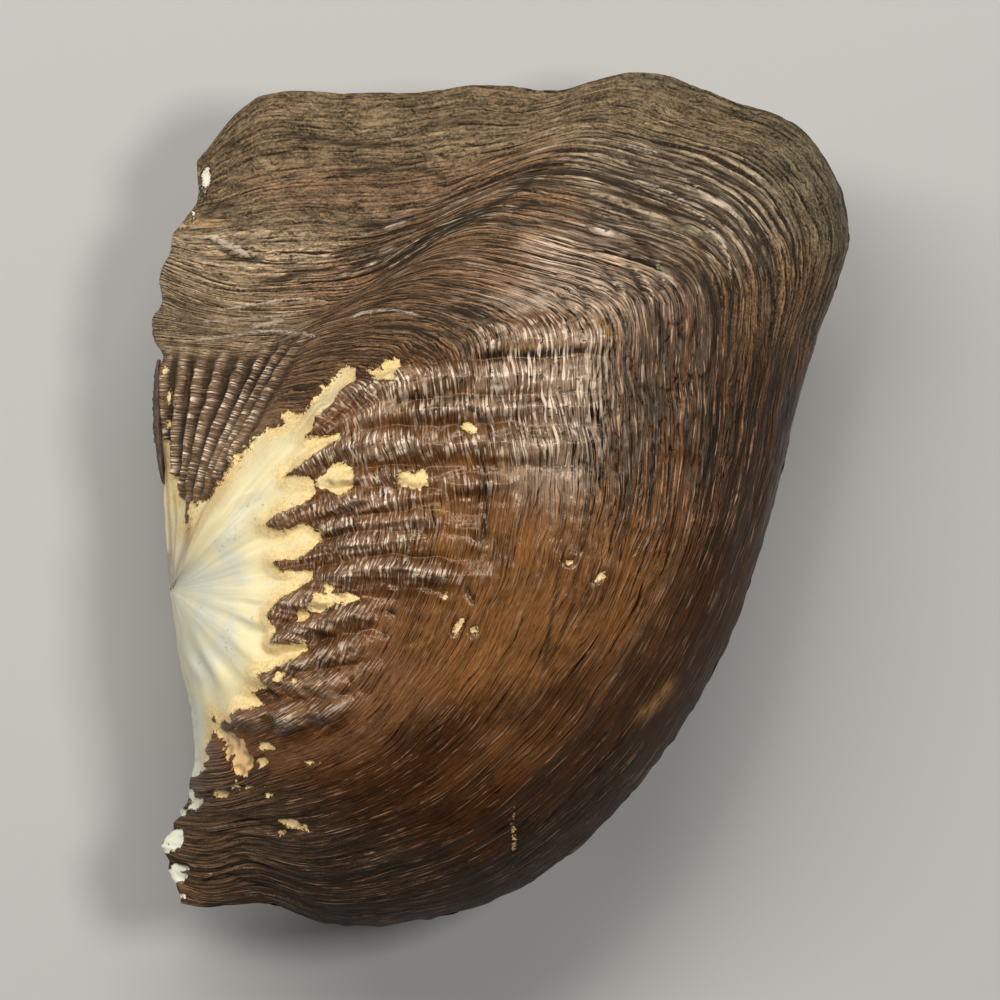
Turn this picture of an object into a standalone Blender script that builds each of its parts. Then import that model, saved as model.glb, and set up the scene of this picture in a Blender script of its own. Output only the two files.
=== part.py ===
"""A closed, winged river mussel shell lying on its right valve.

Left valve up, right valve down, and the dark band of the hinge between them on the straight side.
X runs from the hinge to the free edge, Y along the hinge towards the wing, Z up out of the upper valve.
The origin is under the middle of the shell, on the surface that it lies on.
Drawing units are counted from the beak, x to the right and y up, one unit is UNIT metres.
"""

import bmesh
import bpy
import numpy as np

MM = 0.001
UNIT = 0.0938 * MM

# Middle of the outline in drawing units, it becomes the middle of X and Y
CENTRE = (329.0, 91.4)

# Half of the gap that is kept between the two valves
HALF_GAP = 0.15 * MM
# Thickness of a valve at its very edge, and further in on the flat wing
LIP = 0.55 * MM
WING_PLATE = 1.5 * MM
PLATE_RISE = 1.6 * MM

# The hollow is the outside brought in towards a point under the disc
HOLLOW_POINT = (380.0, 70.0)
HOLLOW_PLAN = 0.93
HOLLOW_HEIGHT = 0.98
HOLLOW_DROP = 0.3 * MM
# The wall is thicker towards the beak
BEAK_WALL = 5.0 * MM

# Growth stages at which the outline was followed
STAGES = (0.0, 0.55, 0.82, 1.0)

# Points around the shell from the wing's hinge corner to the front hinge corner.
# Edge, later growth line, earlier growth line, peak height in millimetres, fall towards the edge.
LANDMARKS = (
    ((27, 428), (-8, 330), (-12, 245), 0.0, 3.0),
    ((60, 469), (45, 318), (30, 242), 2.8, 3.0),
    ((92, 494), (85, 315), (62, 240), 5.0, 3.0),
    ((170, 497), (148, 318), (104, 241), 7.8, 3.0),
    ((260, 500), (192, 321), (134, 251), 9.6, 2.7),
    ((330, 505), (228, 334), (161, 263), 10.5, 2.4),
    ((386, 500), (268, 355), (190, 271), 11.2, 2.0),
    ((470, 519), (340, 375), (232, 276), 13.4, 1.4),
    ((555, 492), (430, 355), (275, 269), 15.6, 1.0),
    ((637, 456), (495, 332), (302, 257), 17.0, 0.72),
    ((675, 386), (529, 302), (316, 240), 17.5, 0.62),
    ((673, 324), (534, 250), (321, 195), 17.8, 0.61),
    ((643, 240), (532, 180), (327, 145), 18.0, 0.61),
    ((611, 115), (520, 75), (330, 80), 18.0, 0.61),
    ((566, -32), (482, -25), (315, 12), 17.9, 0.62),
    ((481, -180), (405, -142), (276, -72), 17.5, 0.64),
    ((352, -297), (296, -236), (220, -142), 16.3, 0.7),
    ((230, -334), (206, -270), (160, -178), 14.2, 0.78),
    ((140, -329), (130, -278), (108, -195), 11.2, 0.95),
    ((90, -313), (76, -266), (70, -207), 8.4, 1.2),
    ((45, -317), (38, -276), (42, -212), 5.2, 1.4),
    ((8, -312), (-5, -268), (16, -213), 0.0, 1.4),
)
RISE = 0.58

# Fine ribs of the wing side, counted at the first landmarks
RIB_COUNTS = (0.0, 2.2, 3.8, 5.8, 7.2, 8.5, 9.8)
RIB_HEIGHT = 0.26 * MM
RIB_SPAN = (0.16, 0.24, 0.47, 0.56)

# Crests of the bold ridges of the disc, each by four points
CRESTS = (
    ((230, 232), (300, 248), (370, 246), (430, 254)),
    ((142, 154), (180, 186), (280, 208), (415, 214)),
    ((175, 164), (215, 174), (300, 180), (420, 182)),
    ((120, 113), (170, 138), (255, 146), (420, 145)),
    ((155, 108), (215, 112), (270, 108), (330, 104)),
    ((101, 69), (145, 82), (205, 90), (285, 94)),
    ((148, 64), (190, 66), (250, 69), (310, 62)),
    ((110, 28), (155, 37), (215, 50), (300, 52)),
    ((150, 8), (210, 22), (260, 18), (310, 15)),
    ((104, -25), (135, -12), (170, -8), (205, -2)),
    ((110, -50), (155, -32), (190, -21), (222, -14)),
    ((108, -76), (150, -66), (180, -57), (215, -48)),
    ((92, -82), (130, -90), (165, -90), (205, -80)),
    ((70, -122), (115, -122), (160, -115), (205, -102)),
)
CREST_WIDTH = 9.0
CREST_HEIGHT = 0.55 * MM

# Broad growth folds that follow the edge
FOLDS = (0.62, 0.72, 0.82, 0.91)
FOLD_WIDTH = 0.022
FOLD_HEIGHT = 0.24 * MM

# Rows of the mesh from the beak to the edge, and columns between landmarks past the ribs
ROWS = (0.0, 0.012, 0.035, 0.07, 0.115, 0.165, 0.215, 0.265, 0.315, 0.365, 0.415, 0.465,
        0.515, 0.567, 0.62, 0.67, 0.72, 0.77, 0.82, 0.865, 0.91, 0.955, 1.0)
HOLLOW_ROWS = (0.0, 0.05, 0.14, 0.26, 0.4, 0.55, 0.7, 0.85, 1.0)
STEPS_PAST_RIBS = (3, 3, 3, 3, 4, 6, 7, 7, 6, 6, 4, 3, 2, 2, 2)

# Level spot that the shell rests on, cut into the lower valve
REST_DEPTH = 0.45 * MM

# Band of the hinge: where it runs along the hinge edge, half width, half height
BAND_SPAN = (0.16, 0.52)
BAND_SECTIONS = 15
BAND_SIDES = 12
BAND_HALF_WIDTH = 0.34 * MM
BAND_HALF_HEIGHT = 1.7 * MM
BAND_END_SIZE = 0.35
BAND_GAP = 0.3 * MM

# Finish of the horny skin on the valves, and of the band
SHELL_COLOUR = (0.16, 0.08, 0.035, 1.0)
SHELL_ROUGHNESS = 0.45
BAND_COLOUR = (0.05, 0.03, 0.02, 1.0)
BAND_ROUGHNESS = 0.7
SHARP_ANGLE = 0.9


def smooth_step(low, high, value):
    """Runs from nought to one between low and high."""
    part = np.clip((value - low) / (high - low), 0.0, 1.0)
    return part * part * (3.0 - 2.0 * part)


def smooth_curve(knots, values, places):
    """Natural cubic curve through the values, read at the places."""
    knots = np.asarray(knots, float)
    values = np.asarray(values, float).reshape(len(knots), -1)
    gaps = np.diff(knots)
    slopes = np.diff(values, axis=0) / gaps[:, None]
    system = np.eye(len(knots))
    bends = np.zeros_like(values)
    for i in range(1, len(knots) - 1):
        system[i, i - 1:i + 2] = gaps[i - 1], 2.0 * (gaps[i - 1] + gaps[i]), gaps[i]
        bends[i] = 6.0 * (slopes[i] - slopes[i - 1])
    bends = np.linalg.solve(system, bends)
    k = np.clip(np.searchsorted(knots, places, side="right") - 1, 0, len(gaps) - 1)
    gap = gaps[k][:, None]
    after = (knots[k + 1] - places)[:, None]
    before = (places - knots[k])[:, None]
    return ((bends[k] * after ** 3 + bends[k + 1] * before ** 3) / (6.0 * gap)
            + (values[k] / gap - bends[k] * gap / 6.0) * after
            + (values[k + 1] / gap - bends[k + 1] * gap / 6.0) * before)


def landmark_places():
    """Place of each landmark along the edge, from nought to one."""
    edge = np.array([mark[0] for mark in LANDMARKS], float)
    early = np.array([mark[2] for mark in LANDMARKS], float)
    edge_steps = np.linalg.norm(np.diff(edge, axis=0), axis=1)
    early_steps = np.linalg.norm(np.diff(early, axis=0), axis=1)
    steps = edge_steps / edge_steps.sum() + early_steps / early_steps.sum()
    return np.concatenate(([0.0], np.cumsum(steps) / steps.sum()))


def plan(rows, columns):
    """Grid of flat positions in drawing units, by row, column and axis."""
    places = landmark_places()
    stages = np.array(STAGES)
    lines = [np.zeros((len(columns), 2))]
    for stage in (2, 1, 0):
        lines.append(smooth_curve(places, [mark[stage] for mark in LANDMARKS], columns))
    lines = np.array(lines)
    spans = np.diff(stages)
    speeds = np.diff(lines, axis=0) / spans[:, None, None]
    starts = np.empty_like(lines)
    for i in (1, 2):
        total = spans[i - 1] + spans[i]
        starts[i] = (speeds[i - 1] * spans[i] + speeds[i] * spans[i - 1]) / total
    starts[0] = 1.5 * speeds[0] - 0.5 * starts[1]
    starts[3] = 1.5 * speeds[2] - 0.5 * starts[2]
    grid = np.empty((len(rows), len(columns), 2))
    for row, stage in enumerate(rows):
        k = min(int(np.searchsorted(stages, stage, side="right")) - 1, 2)
        u = (stage - stages[k]) / spans[k]
        grid[row] = (lines[k] * (1.0 + 2.0 * u) * (1.0 - u) ** 2
                     + lines[k + 1] * u * u * (3.0 - 2.0 * u)
                     + spans[k] * (starts[k] * u * (1.0 - u) ** 2 - starts[k + 1] * u * u * (1.0 - u)))
    return grid


def swell(rows, columns):
    """Height of the smooth shell above its edge, by row and column."""
    places = landmark_places()
    heights = np.array([mark[3] for mark in LANDMARKS]) * MM
    peak = np.maximum(smooth_curve(places, heights, columns)[:, 0], 0.0)
    fall = smooth_curve(places, [mark[4] for mark in LANDMARKS], columns)[:, 0]
    top = RISE / (RISE + fall)
    stage = np.asarray(rows, float)[:, None]
    return peak * (stage / top) ** RISE * ((1.0 - stage) / (1.0 - top)) ** fall


def plate(flat, rows):
    """Extra thickness of the shell wall just inside its edge."""
    reach = np.linalg.norm(flat[-1], axis=1) * UNIT
    from_edge = (1.0 - np.asarray(rows, float))[:, None] * reach
    from_back = np.abs(flat[:, :, 0] - flat[:, :1, 0]) * UNIT
    from_front = np.abs(flat[:, :, 0] - flat[:, -1:, 0]) * UNIT
    rise = np.ones_like(from_edge)
    for away in (from_edge, from_back, from_front):
        rise = rise * (1.0 - np.exp(-away / PLATE_RISE))
    return (WING_PLATE - LIP) * rise


def crest_relief(flat):
    """Bold ridges of the disc, as rounded bars along their crest lines."""
    relief = np.zeros(flat.shape[:2])
    for crest in CRESTS:
        line = smooth_curve(np.linspace(0.0, 1.0, len(crest)), crest, np.linspace(0.0, 1.0, 10))
        nearest = np.full(flat.shape[:2], np.inf)
        along = np.zeros(flat.shape[:2])
        for i in range(len(line) - 1):
            step = line[i + 1] - line[i]
            part = np.clip(((flat - line[i]) @ step) / (step @ step), 0.0, 1.0)
            gap = np.linalg.norm(flat - line[i] - part[:, :, None] * step, axis=2)
            along = np.where(gap < nearest, (i + part) / (len(line) - 1), along)
            nearest = np.minimum(nearest, gap)
        strength = smooth_step(-0.2, 0.3, along) * (1.0 - 0.6 * smooth_step(0.6, 1.0, along))
        relief = relief + strength * np.exp(-(nearest / CREST_WIDTH) ** 2)
    return CREST_HEIGHT * relief


def rib_turns(columns):
    """Number of wing ribs counted from the hinge to each column."""
    return np.interp(columns, landmark_places()[:len(RIB_COUNTS)], RIB_COUNTS)


def rib_relief(rows, columns):
    """Fine ribs that fan out between the beak and the wing."""
    low, full, fading, gone = RIB_SPAN
    stage = np.asarray(rows, float)[:, None]
    strength = smooth_step(low, full, stage) * (1.0 - smooth_step(fading, gone, stage))
    turns = rib_turns(columns)
    side = smooth_step(0.0, 1.0, turns) * (1.0 - smooth_step(RIB_COUNTS[-1] - 1.0, RIB_COUNTS[-1], turns))
    return RIB_HEIGHT * strength * side * (0.5 - 0.5 * np.cos(2.0 * np.pi * turns))


def fold_relief(rows, columns):
    """Broad growth folds, strongest on the disc and on the ridge."""
    stage = np.asarray(rows, float)[:, None]
    relief = sum(np.exp(-((stage - fold) / FOLD_WIDTH) ** 2) for fold in FOLDS)
    side = smooth_step(0.0, 0.1, np.asarray(columns)) * (1.0 - smooth_step(0.9, 1.0, np.asarray(columns)))
    return FOLD_HEIGHT * relief * side


def outward(points):
    """Outward direction of the surface at every grid point."""
    along = np.gradient(points, axis=0)
    across = np.gradient(points, axis=1)
    normals = np.cross(across, along)
    lengths = np.linalg.norm(normals, axis=2, keepdims=True)
    return normals / np.maximum(lengths, 1e-12)


def outer_surface(rows, columns):
    """Outside of the upper valve with its relief, in metres."""
    flat = plan(rows, columns)
    points = np.empty(flat.shape[:2] + (3,))
    points[:, :, :2] = (flat - CENTRE) * UNIT
    points[:, :, 2] = HALF_GAP + LIP + plate(flat, rows) + swell(rows, columns)
    relief = crest_relief(flat) + rib_relief(rows, columns) + fold_relief(rows, columns)
    relief[[0, -1], :] = 0.0
    relief[:, [0, -1]] = 0.0
    return points + outward(points) * relief[:, :, None]


def inner_surface(rows, columns):
    """Roof of the hollow of the upper valve, in metres."""
    flat = plan(rows, columns)
    points = np.empty(flat.shape[:2] + (3,))
    centre = np.array(HOLLOW_POINT)
    points[:, :, :2] = (centre + (flat - centre) * HOLLOW_PLAN - CENTRE) * UNIT
    wall = HOLLOW_DROP + BEAK_WALL * (1.0 - np.asarray(rows, float))[:, None] ** 3
    points[:, :, 2] = HALF_GAP + np.maximum(swell(rows, columns) * HOLLOW_HEIGHT - wall, 0.0)
    return points


def rest_height(columns):
    """Height of the plane between the valves above the level spot of the lower valve."""
    return outer_surface(ROWS, columns)[:, :, 2].max() - REST_DEPTH


def mesh_columns():
    """Columns of the mesh: two for each rib, then a few between landmarks."""
    places = landmark_places()
    ribs = len(RIB_COUNTS) - 1
    columns = list(np.interp(np.arange(0.0, RIB_COUNTS[-1], 0.5), RIB_COUNTS, places[:ribs + 1]))
    for i, steps in enumerate(STEPS_PAST_RIBS):
        columns.extend(np.linspace(places[ribs + i], places[ribs + i + 1], steps, endpoint=False))
    columns.append(1.0)
    return np.array(columns)


def add_sheet(mesh, points):
    """Adds a grid that starts at one point, and returns its edge loop."""
    beak = mesh.verts.new(points[0, 0])
    rows = [[mesh.verts.new(point) for point in row] for row in points[1:]]
    for left, right in zip(rows[0], rows[0][1:]):
        mesh.faces.new((beak, right, left))
    for near, far in zip(rows, rows[1:]):
        for i in range(len(near) - 1):
            mesh.faces.new((near[i], near[i + 1], far[i + 1]))
            mesh.faces.new((near[i], far[i + 1], far[i]))
    return [beak] + [row[0] for row in rows] + rows[-1][1:-1] + [row[-1] for row in reversed(rows)]


def loop_edges(mesh, loop):
    """Edges of a closed loop of vertices."""
    edges = []
    for start, end in zip(loop, loop[1:] + loop[:1]):
        edges.append(mesh.edges.get((start, end)) or mesh.edges.new((start, end)))
    return edges


def add_object(name, mesh, colour, roughness):
    """Turns a closed mesh into a named object with its own material."""
    bmesh.ops.recalc_face_normals(mesh, faces=mesh.faces)
    if mesh.calc_volume(signed=True) < 0.0:
        bmesh.ops.reverse_faces(mesh, faces=mesh.faces)
    data = bpy.data.meshes.new(name)
    mesh.to_mesh(data)
    mesh.free()
    thing = bpy.data.objects.new(name, data)
    bpy.context.scene.collection.objects.link(thing)
    material = bpy.data.materials.new(name + "_surface")
    material.use_nodes = True
    shader = material.node_tree.nodes["Principled BSDF"]
    shader.inputs["Base Color"].default_value = colour
    shader.inputs["Roughness"].default_value = roughness
    data.materials.append(material)
    data.shade_smooth()
    data.set_sharp_from_angle(angle=SHARP_ANGLE)


def add_valve(name, side, colour):
    """One valve: side is one for the upper and minus one for the lower."""
    columns = mesh_columns()
    outer = outer_surface(ROWS, columns)
    inner = inner_surface(HOLLOW_ROWS, columns[::2])
    height = rest_height(columns)
    if side < 0:
        outer[:, :, 2] = np.minimum(outer[:, :, 2], height)
    mesh = bmesh.new()
    rim = add_sheet(mesh, outer)
    hollow = add_sheet(mesh, inner)
    foot = [mesh.verts.new((vertex.co.x, vertex.co.y, HALF_GAP)) for vertex in rim]
    for i in range(len(rim)):
        k = (i + 1) % len(rim)
        mesh.faces.new((rim[i], rim[k], foot[k]))
        mesh.faces.new((rim[i], foot[k], foot[i]))
    bmesh.ops.triangle_fill(mesh, edges=loop_edges(mesh, foot) + loop_edges(mesh, hollow), use_beauty=True)
    for vertex in mesh.verts:
        vertex.co.z = height + side * vertex.co.z
    add_object(name, mesh, colour, SHELL_ROUGHNESS)


def add_band():
    """Dark elastic band along the hinge behind the beak, joining the two valves."""
    stages = np.linspace(BAND_SPAN[0], BAND_SPAN[1], BAND_SECTIONS)
    edge = (plan(stages, np.array([0.0]))[:, 0] - CENTRE) * UNIT
    height = rest_height(mesh_columns())
    mesh = bmesh.new()
    rings = []
    for i, (x, y) in enumerate(edge):
        along = i / (BAND_SECTIONS - 1)
        size = BAND_END_SIZE + (1.0 - BAND_END_SIZE) * max(np.sin(np.pi * along), 0.0) ** 0.6
        wide = BAND_HALF_WIDTH * size
        tall = BAND_HALF_HEIGHT * size
        ring = []
        for k in range(BAND_SIDES):
            turn = 2.0 * np.pi * k / BAND_SIDES
            side = x - BAND_GAP - wide * (1.0 - np.cos(turn))
            ring.append(mesh.verts.new((side, y, height + tall * np.sin(turn))))
        rings.append(ring)
    for near, far in zip(rings, rings[1:]):
        for k in range(BAND_SIDES):
            n = (k + 1) % BAND_SIDES
            mesh.faces.new((near[k], near[n], far[n]))
            mesh.faces.new((near[k], far[n], far[k]))
    mesh.faces.new(rings[0])
    mesh.faces.new(list(reversed(rings[-1])))
    add_object("ligament", mesh, BAND_COLOUR, BAND_ROUGHNESS)


def main():
    for thing in list(bpy.data.objects):
        bpy.data.objects.remove(thing, do_unlink=True)
    add_valve("left_valve", 1, SHELL_COLOUR)
    add_valve("right_valve", -1, SHELL_COLOUR)
    add_band()


main()
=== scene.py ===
"""A closed, winged river mussel shell that lies on its right valve, seen straight from above.

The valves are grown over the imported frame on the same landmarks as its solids: rows follow growth
from the beak to the edge, columns follow the edge from the back hinge corner to the front one.
Landmarks are in drawing units from the beak, x right and y up. Marks and patches are on the drawing
sheet itself, x right and y down, with the beak at SHEET_BEAK. One unit is UNIT metres in both.
"""

import bmesh
import bpy
import numpy as np
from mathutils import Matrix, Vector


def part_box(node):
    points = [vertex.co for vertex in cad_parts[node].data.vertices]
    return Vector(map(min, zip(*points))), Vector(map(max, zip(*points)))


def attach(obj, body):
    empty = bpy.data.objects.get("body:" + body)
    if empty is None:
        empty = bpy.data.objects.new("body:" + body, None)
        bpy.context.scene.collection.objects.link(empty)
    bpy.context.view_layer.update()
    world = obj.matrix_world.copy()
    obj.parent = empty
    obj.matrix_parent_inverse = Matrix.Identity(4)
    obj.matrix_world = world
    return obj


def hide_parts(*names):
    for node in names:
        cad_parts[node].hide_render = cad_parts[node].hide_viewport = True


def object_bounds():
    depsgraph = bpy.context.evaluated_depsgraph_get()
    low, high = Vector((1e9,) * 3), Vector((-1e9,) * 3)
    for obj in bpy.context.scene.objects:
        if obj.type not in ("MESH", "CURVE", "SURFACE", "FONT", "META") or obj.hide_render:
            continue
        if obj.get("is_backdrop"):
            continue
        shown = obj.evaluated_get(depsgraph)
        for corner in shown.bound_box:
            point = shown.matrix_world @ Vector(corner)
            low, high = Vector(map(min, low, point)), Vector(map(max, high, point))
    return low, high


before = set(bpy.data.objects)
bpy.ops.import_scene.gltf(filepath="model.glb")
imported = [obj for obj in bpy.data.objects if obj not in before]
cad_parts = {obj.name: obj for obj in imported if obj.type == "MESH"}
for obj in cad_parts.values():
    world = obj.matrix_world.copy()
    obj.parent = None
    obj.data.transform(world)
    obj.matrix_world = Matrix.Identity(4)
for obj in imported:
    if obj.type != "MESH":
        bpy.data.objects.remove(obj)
CAD_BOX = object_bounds()

bl_info = {
    "name": "River Mussel Shell",
    "version": (1, 0, 0),
    "blender": (4, 5, 0),
    "location": "View3D > Sidebar > Shell",
    "description": "Grows the two worn, ridged valves and the hinge band of a winged river mussel",
    "category": "Add Mesh",
}

MM = 0.001
UNIT = 0.0938 * MM

# Middle of the shell in drawing units, the beak on the drawing sheet, and the sheet's side
CENTRE = (329.0, 91.4)
SHEET_BEAK = (170.0, 590.0)
SHEET_SIZE = 1000.0

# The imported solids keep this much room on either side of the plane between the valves
CAD_HALF_GAP = 0.15 * MM

# Thickness of a valve's rim plate, and how far in from the edge it takes to build up
WING_PLATE = 1.5 * MM
PLATE_RISE = 1.6 * MM

# Hollow of a valve, as in the solids
HOLLOW_POINT = (380.0, 70.0)
HOLLOW_PLAN = 0.93
HOLLOW_HEIGHT = 0.98
HOLLOW_DROP = 0.3 * MM
BEAK_WALL = 5.0 * MM

# Growth stages of the beak, the two growth lines and the edge
STAGES = (0.0, 0.55, 0.82, 1.0)

# Edge, later growth line, earlier growth line, peak height in millimetres, fall towards the edge
LANDMARKS = (
    ((27, 428), (-8, 330), (-12, 245), 0.0, 3.0),
    ((60, 469), (45, 318), (30, 242), 2.8, 3.0),
    ((92, 494), (85, 315), (62, 240), 5.0, 3.0),
    ((170, 497), (148, 318), (104, 241), 7.8, 3.0),
    ((260, 500), (192, 321), (134, 251), 9.6, 2.7),
    ((330, 505), (228, 334), (161, 263), 10.5, 2.4),
    ((386, 500), (268, 355), (190, 271), 11.2, 2.0),
    ((470, 519), (340, 375), (232, 276), 13.4, 1.4),
    ((555, 492), (430, 355), (275, 269), 15.6, 1.0),
    ((637, 456), (495, 332), (302, 257), 17.0, 0.72),
    ((675, 386), (529, 302), (316, 240), 17.5, 0.62),
    ((673, 324), (534, 250), (321, 195), 17.8, 0.61),
    ((643, 240), (532, 180), (327, 145), 18.0, 0.61),
    ((611, 115), (520, 75), (330, 80), 18.0, 0.61),
    ((566, -32), (482, -25), (315, 12), 17.9, 0.62),
    ((481, -180), (405, -142), (276, -72), 17.5, 0.64),
    ((352, -297), (296, -236), (220, -142), 16.3, 0.7),
    ((230, -334), (206, -270), (160, -178), 14.2, 0.78),
    ((140, -329), (130, -278), (108, -195), 11.2, 0.95),
    ((90, -313), (76, -266), (70, -207), 8.4, 1.2),
    ((45, -317), (38, -276), (42, -212), 5.2, 1.4),
    ((8, -312), (-5, -268), (16, -213), 0.0, 1.4),
)

# How a valve rises from the beak: the smaller, the steeper at first
RISE = 0.58

# Length of the edge and of the growth path, for fields that run along and across the growth lines
EDGE_LENGTH = 225.0
GROWTH_LENGTH = 60.0

# Rows of the mesh: near the beak, over the worn and corrugated middle, and out to the edge
BEAK_ROWS = 14
MIDDLE_ROWS = 110
OUTER_ROWS = 118
MIDDLE_SPAN = (0.14, 0.6)
COLUMNS = 392

# Mesh of the hollow
HOLLOW_ROWS = 14
HOLLOW_COLUMNS = 64

# Fine ribs of the wing side, counted at the first landmarks, and the growth stages at which they
# start, are full, begin to fade and are gone
RIB_COUNTS = (0.0, 2.2, 3.8, 5.8, 7.4, 8.6)
RIB_SPAN = (0.16, 0.24, 0.46, 0.6)

# Crests of the bold ridges of the disc in drawing units, with the half width of the bar
CRESTS = (
    (17, ((230, 232), (300, 248), (370, 246), (430, 254))),
    (17, ((142, 154), (180, 186), (280, 208), (415, 214))),
    (13, ((175, 164), (215, 174), (300, 180), (420, 182))),
    (17, ((120, 113), (170, 138), (255, 146), (420, 145))),
    (12, ((155, 108), (215, 112), (270, 108), (330, 104))),
    (15, ((101, 69), (145, 82), (205, 90), (285, 94))),
    (11, ((148, 64), (190, 66), (250, 69), (310, 62))),
    (14, ((110, 28), (155, 37), (215, 50), (300, 52))),
    (14, ((150, 8), (210, 22), (260, 18), (310, 15))),
    (13, ((104, -25), (135, -12), (170, -8), (205, -2))),
    (14, ((110, -50), (155, -32), (190, -21), (222, -14))),
    (12, ((108, -76), (150, -66), (180, -57), (215, -48))),
    (14, ((92, -82), (130, -90), (165, -90), (205, -80))),
    (15, ((70, -122), (115, -122), (160, -115), (205, -102))),
)

# The ridges fade at their ends, from the tenth on further than above, and the topmost one starts late
UPPER_CRESTS = 9
RUN_OUT = 0.65
LOWER_RUN_OUT = 0.92
TOPMOST_START = (0.25, 0.5)

# Layered growth edges: number, growth stages, and reach of the slope and of the drop on either side
COARSE_LEDGES = (70, (0.3, 1.0), 1.2, 0.22)
FINE_LEDGES = (110, (0.2, 1.0), 0.5, 0.16)

# Broad growth folds that follow the edge
FOLDS = (0.62, 0.72, 0.82, 0.91)
FOLD_WIDTH = 0.022
FOLD_HEIGHT = 0.24 * MM

# Wrinkles of the bold ridges as a part of their height, and the small unevenness of the skin
WRINKLES = 0.24
UNEVENNESS = 0.04 * MM

# Growth stages of the hinge edges, and how far they stray to the right of their smooth lines there
BACK_WOBBLE = (
    (0.0, 0.0), (0.2, 1.0), (0.25, 2.4), (0.3, 1.6), (0.35, -1.3), (0.4, -3.5), (0.45, -3.9),
    (0.475, -1.7), (0.5, 3.5), (0.525, 5.5), (0.55, -0.5), (0.6, -5.0), (0.65, -2.0), (0.675, 3.4),
    (0.725, 6.5), (0.775, 1.6), (0.8, 2.7), (0.85, 5.3), (0.875, 4.1), (0.9, 9.4), (0.925, 14.3),
    (0.95, 13.9), (0.975, 6.2), (1.0, 0.5),
)
FRONT_WOBBLE = (
    (0.0, 0.0), (0.12, -1.0), (0.2, 2.0), (0.25, 5.0), (0.35, 6.8), (0.4, 7.0), (0.45, 4.0), (0.5, 1.8),
    (0.56, 0.5), (0.58, -3.0), (0.6, -1.6), (0.63, -4.7), (0.66, -2.6), (0.7, -2.5), (0.75, -5.0),
    (0.775, -3.4), (0.8, 0.5), (0.83, 3.6), (0.87, 2.4), (0.95, 5.4), (1.0, 3.5),
)

# How far in from the outer edge it is frayed, and from the hinge edges they stray
FRAYED_FROM = 0.965
HINGE_REACH = 0.012

# The shell is rounded off round the beak: up to these growth stages, over this spread in degrees
BEAK_ROUNDING = (0.16, 0.4)
BEAK_SPREAD = 7.0

# Outline of the worn patch at the beak, on the sheet
PEARL = (
    (140, 424), (163, 425), (166, 440), (171, 441), (174, 452), (171, 458), (176, 475), (184, 476),
    (181, 497), (187, 502), (188, 528), (190, 503), (196, 500), (198, 508), (201, 500), (207, 499),
    (212, 492), (236, 459), (255, 440), (271, 429), (287, 427), (285, 415), (293, 411), (299, 416),
    (311, 407), (333, 379), (348, 366), (360, 369), (358, 383), (349, 394), (340, 409), (326, 422),
    (311, 439), (343, 435), (346, 443), (335, 446), (319, 459), (289, 477), (306, 475), (319, 481),
    (320, 494), (310, 505), (290, 510), (269, 524), (287, 530), (306, 522), (328, 532), (319, 548),
    (306, 557), (279, 561), (284, 569), (316, 569), (319, 578), (306, 586), (287, 596), (273, 615),
    (281, 628), (277, 642), (311, 639), (312, 648), (297, 659), (263, 672), (274, 682), (255, 691),
    (268, 701), (239, 710), (239, 723), (214, 718), (246, 739), (261, 765), (239, 776), (230, 755),
    (217, 731), (209, 742), (210, 761), (198, 777), (150, 777), (130, 600),
)

# Where the rim of the worn patch is most ragged, and by how much more than elsewhere
FRAYED_SPOT = (236, 748, 34, 28, 0)
FRAYED_MORE = 3.2

# Where the bare shell is flushed with orange
BLUSH = (240, 752, 34, 34, 0)

# Separate worn patches on the sheet: middle, half length, half width, turn in degrees
PATCHES = (
    (343, 479, 15, 16, 0), (331, 483, 10, 8, 20), (394, 370, 11, 9, 0), (387, 378, 13, 9, 10),
    (375, 373, 6, 5, 0), (411, 480, 10, 7, 0), (424, 478, 7, 8, 0), (417, 487, 8, 4, 20),
    (345, 597, 22, 6, 0), (329, 602, 14, 6, -15), (334, 589, 4, 5, 0), (306, 615, 7, 7, 0),
    (287, 673, 5, 7, 0), (301, 677, 3, 3, 0), (446, 594, 3, 3, 0), (459, 624, 3, 9, 30),
    (474, 628, 3, 5, 10), (469, 429, 7, 4, 20), (223, 791, 8, 4, 10), (251, 784, 10, 2, 0),
    (269, 792, 4, 2, 0), (295, 820, 14, 4, 14), (284, 829, 5, 2, 0), (314, 759, 5, 2, 0),
    (206, 180, 4, 14, 8), (268, 742, 8, 5, 30), (262, 760, 7, 4, -20),
    (193, 214, 2, 4, 0), (195, 805, 9, 6, -40), (192, 794, 3, 7, 0), (184, 812, 5, 4, -40),
    (174, 838, 12, 9, -35), (168, 848, 8, 6, 0), (180, 868, 9, 4, 0), (175, 874, 7, 9, 0),
    (184, 877, 5, 4, -45), (184, 896, 6, 3, 0), (170, 397, 3, 8, 0), (166, 371, 3, 5, 0),
    (569, 561, 6, 2, 0), (598, 575, 7, 2, -45), (513, 836, 2, 20, 0), (170, 425, 2, 5, 0),
)

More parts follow.
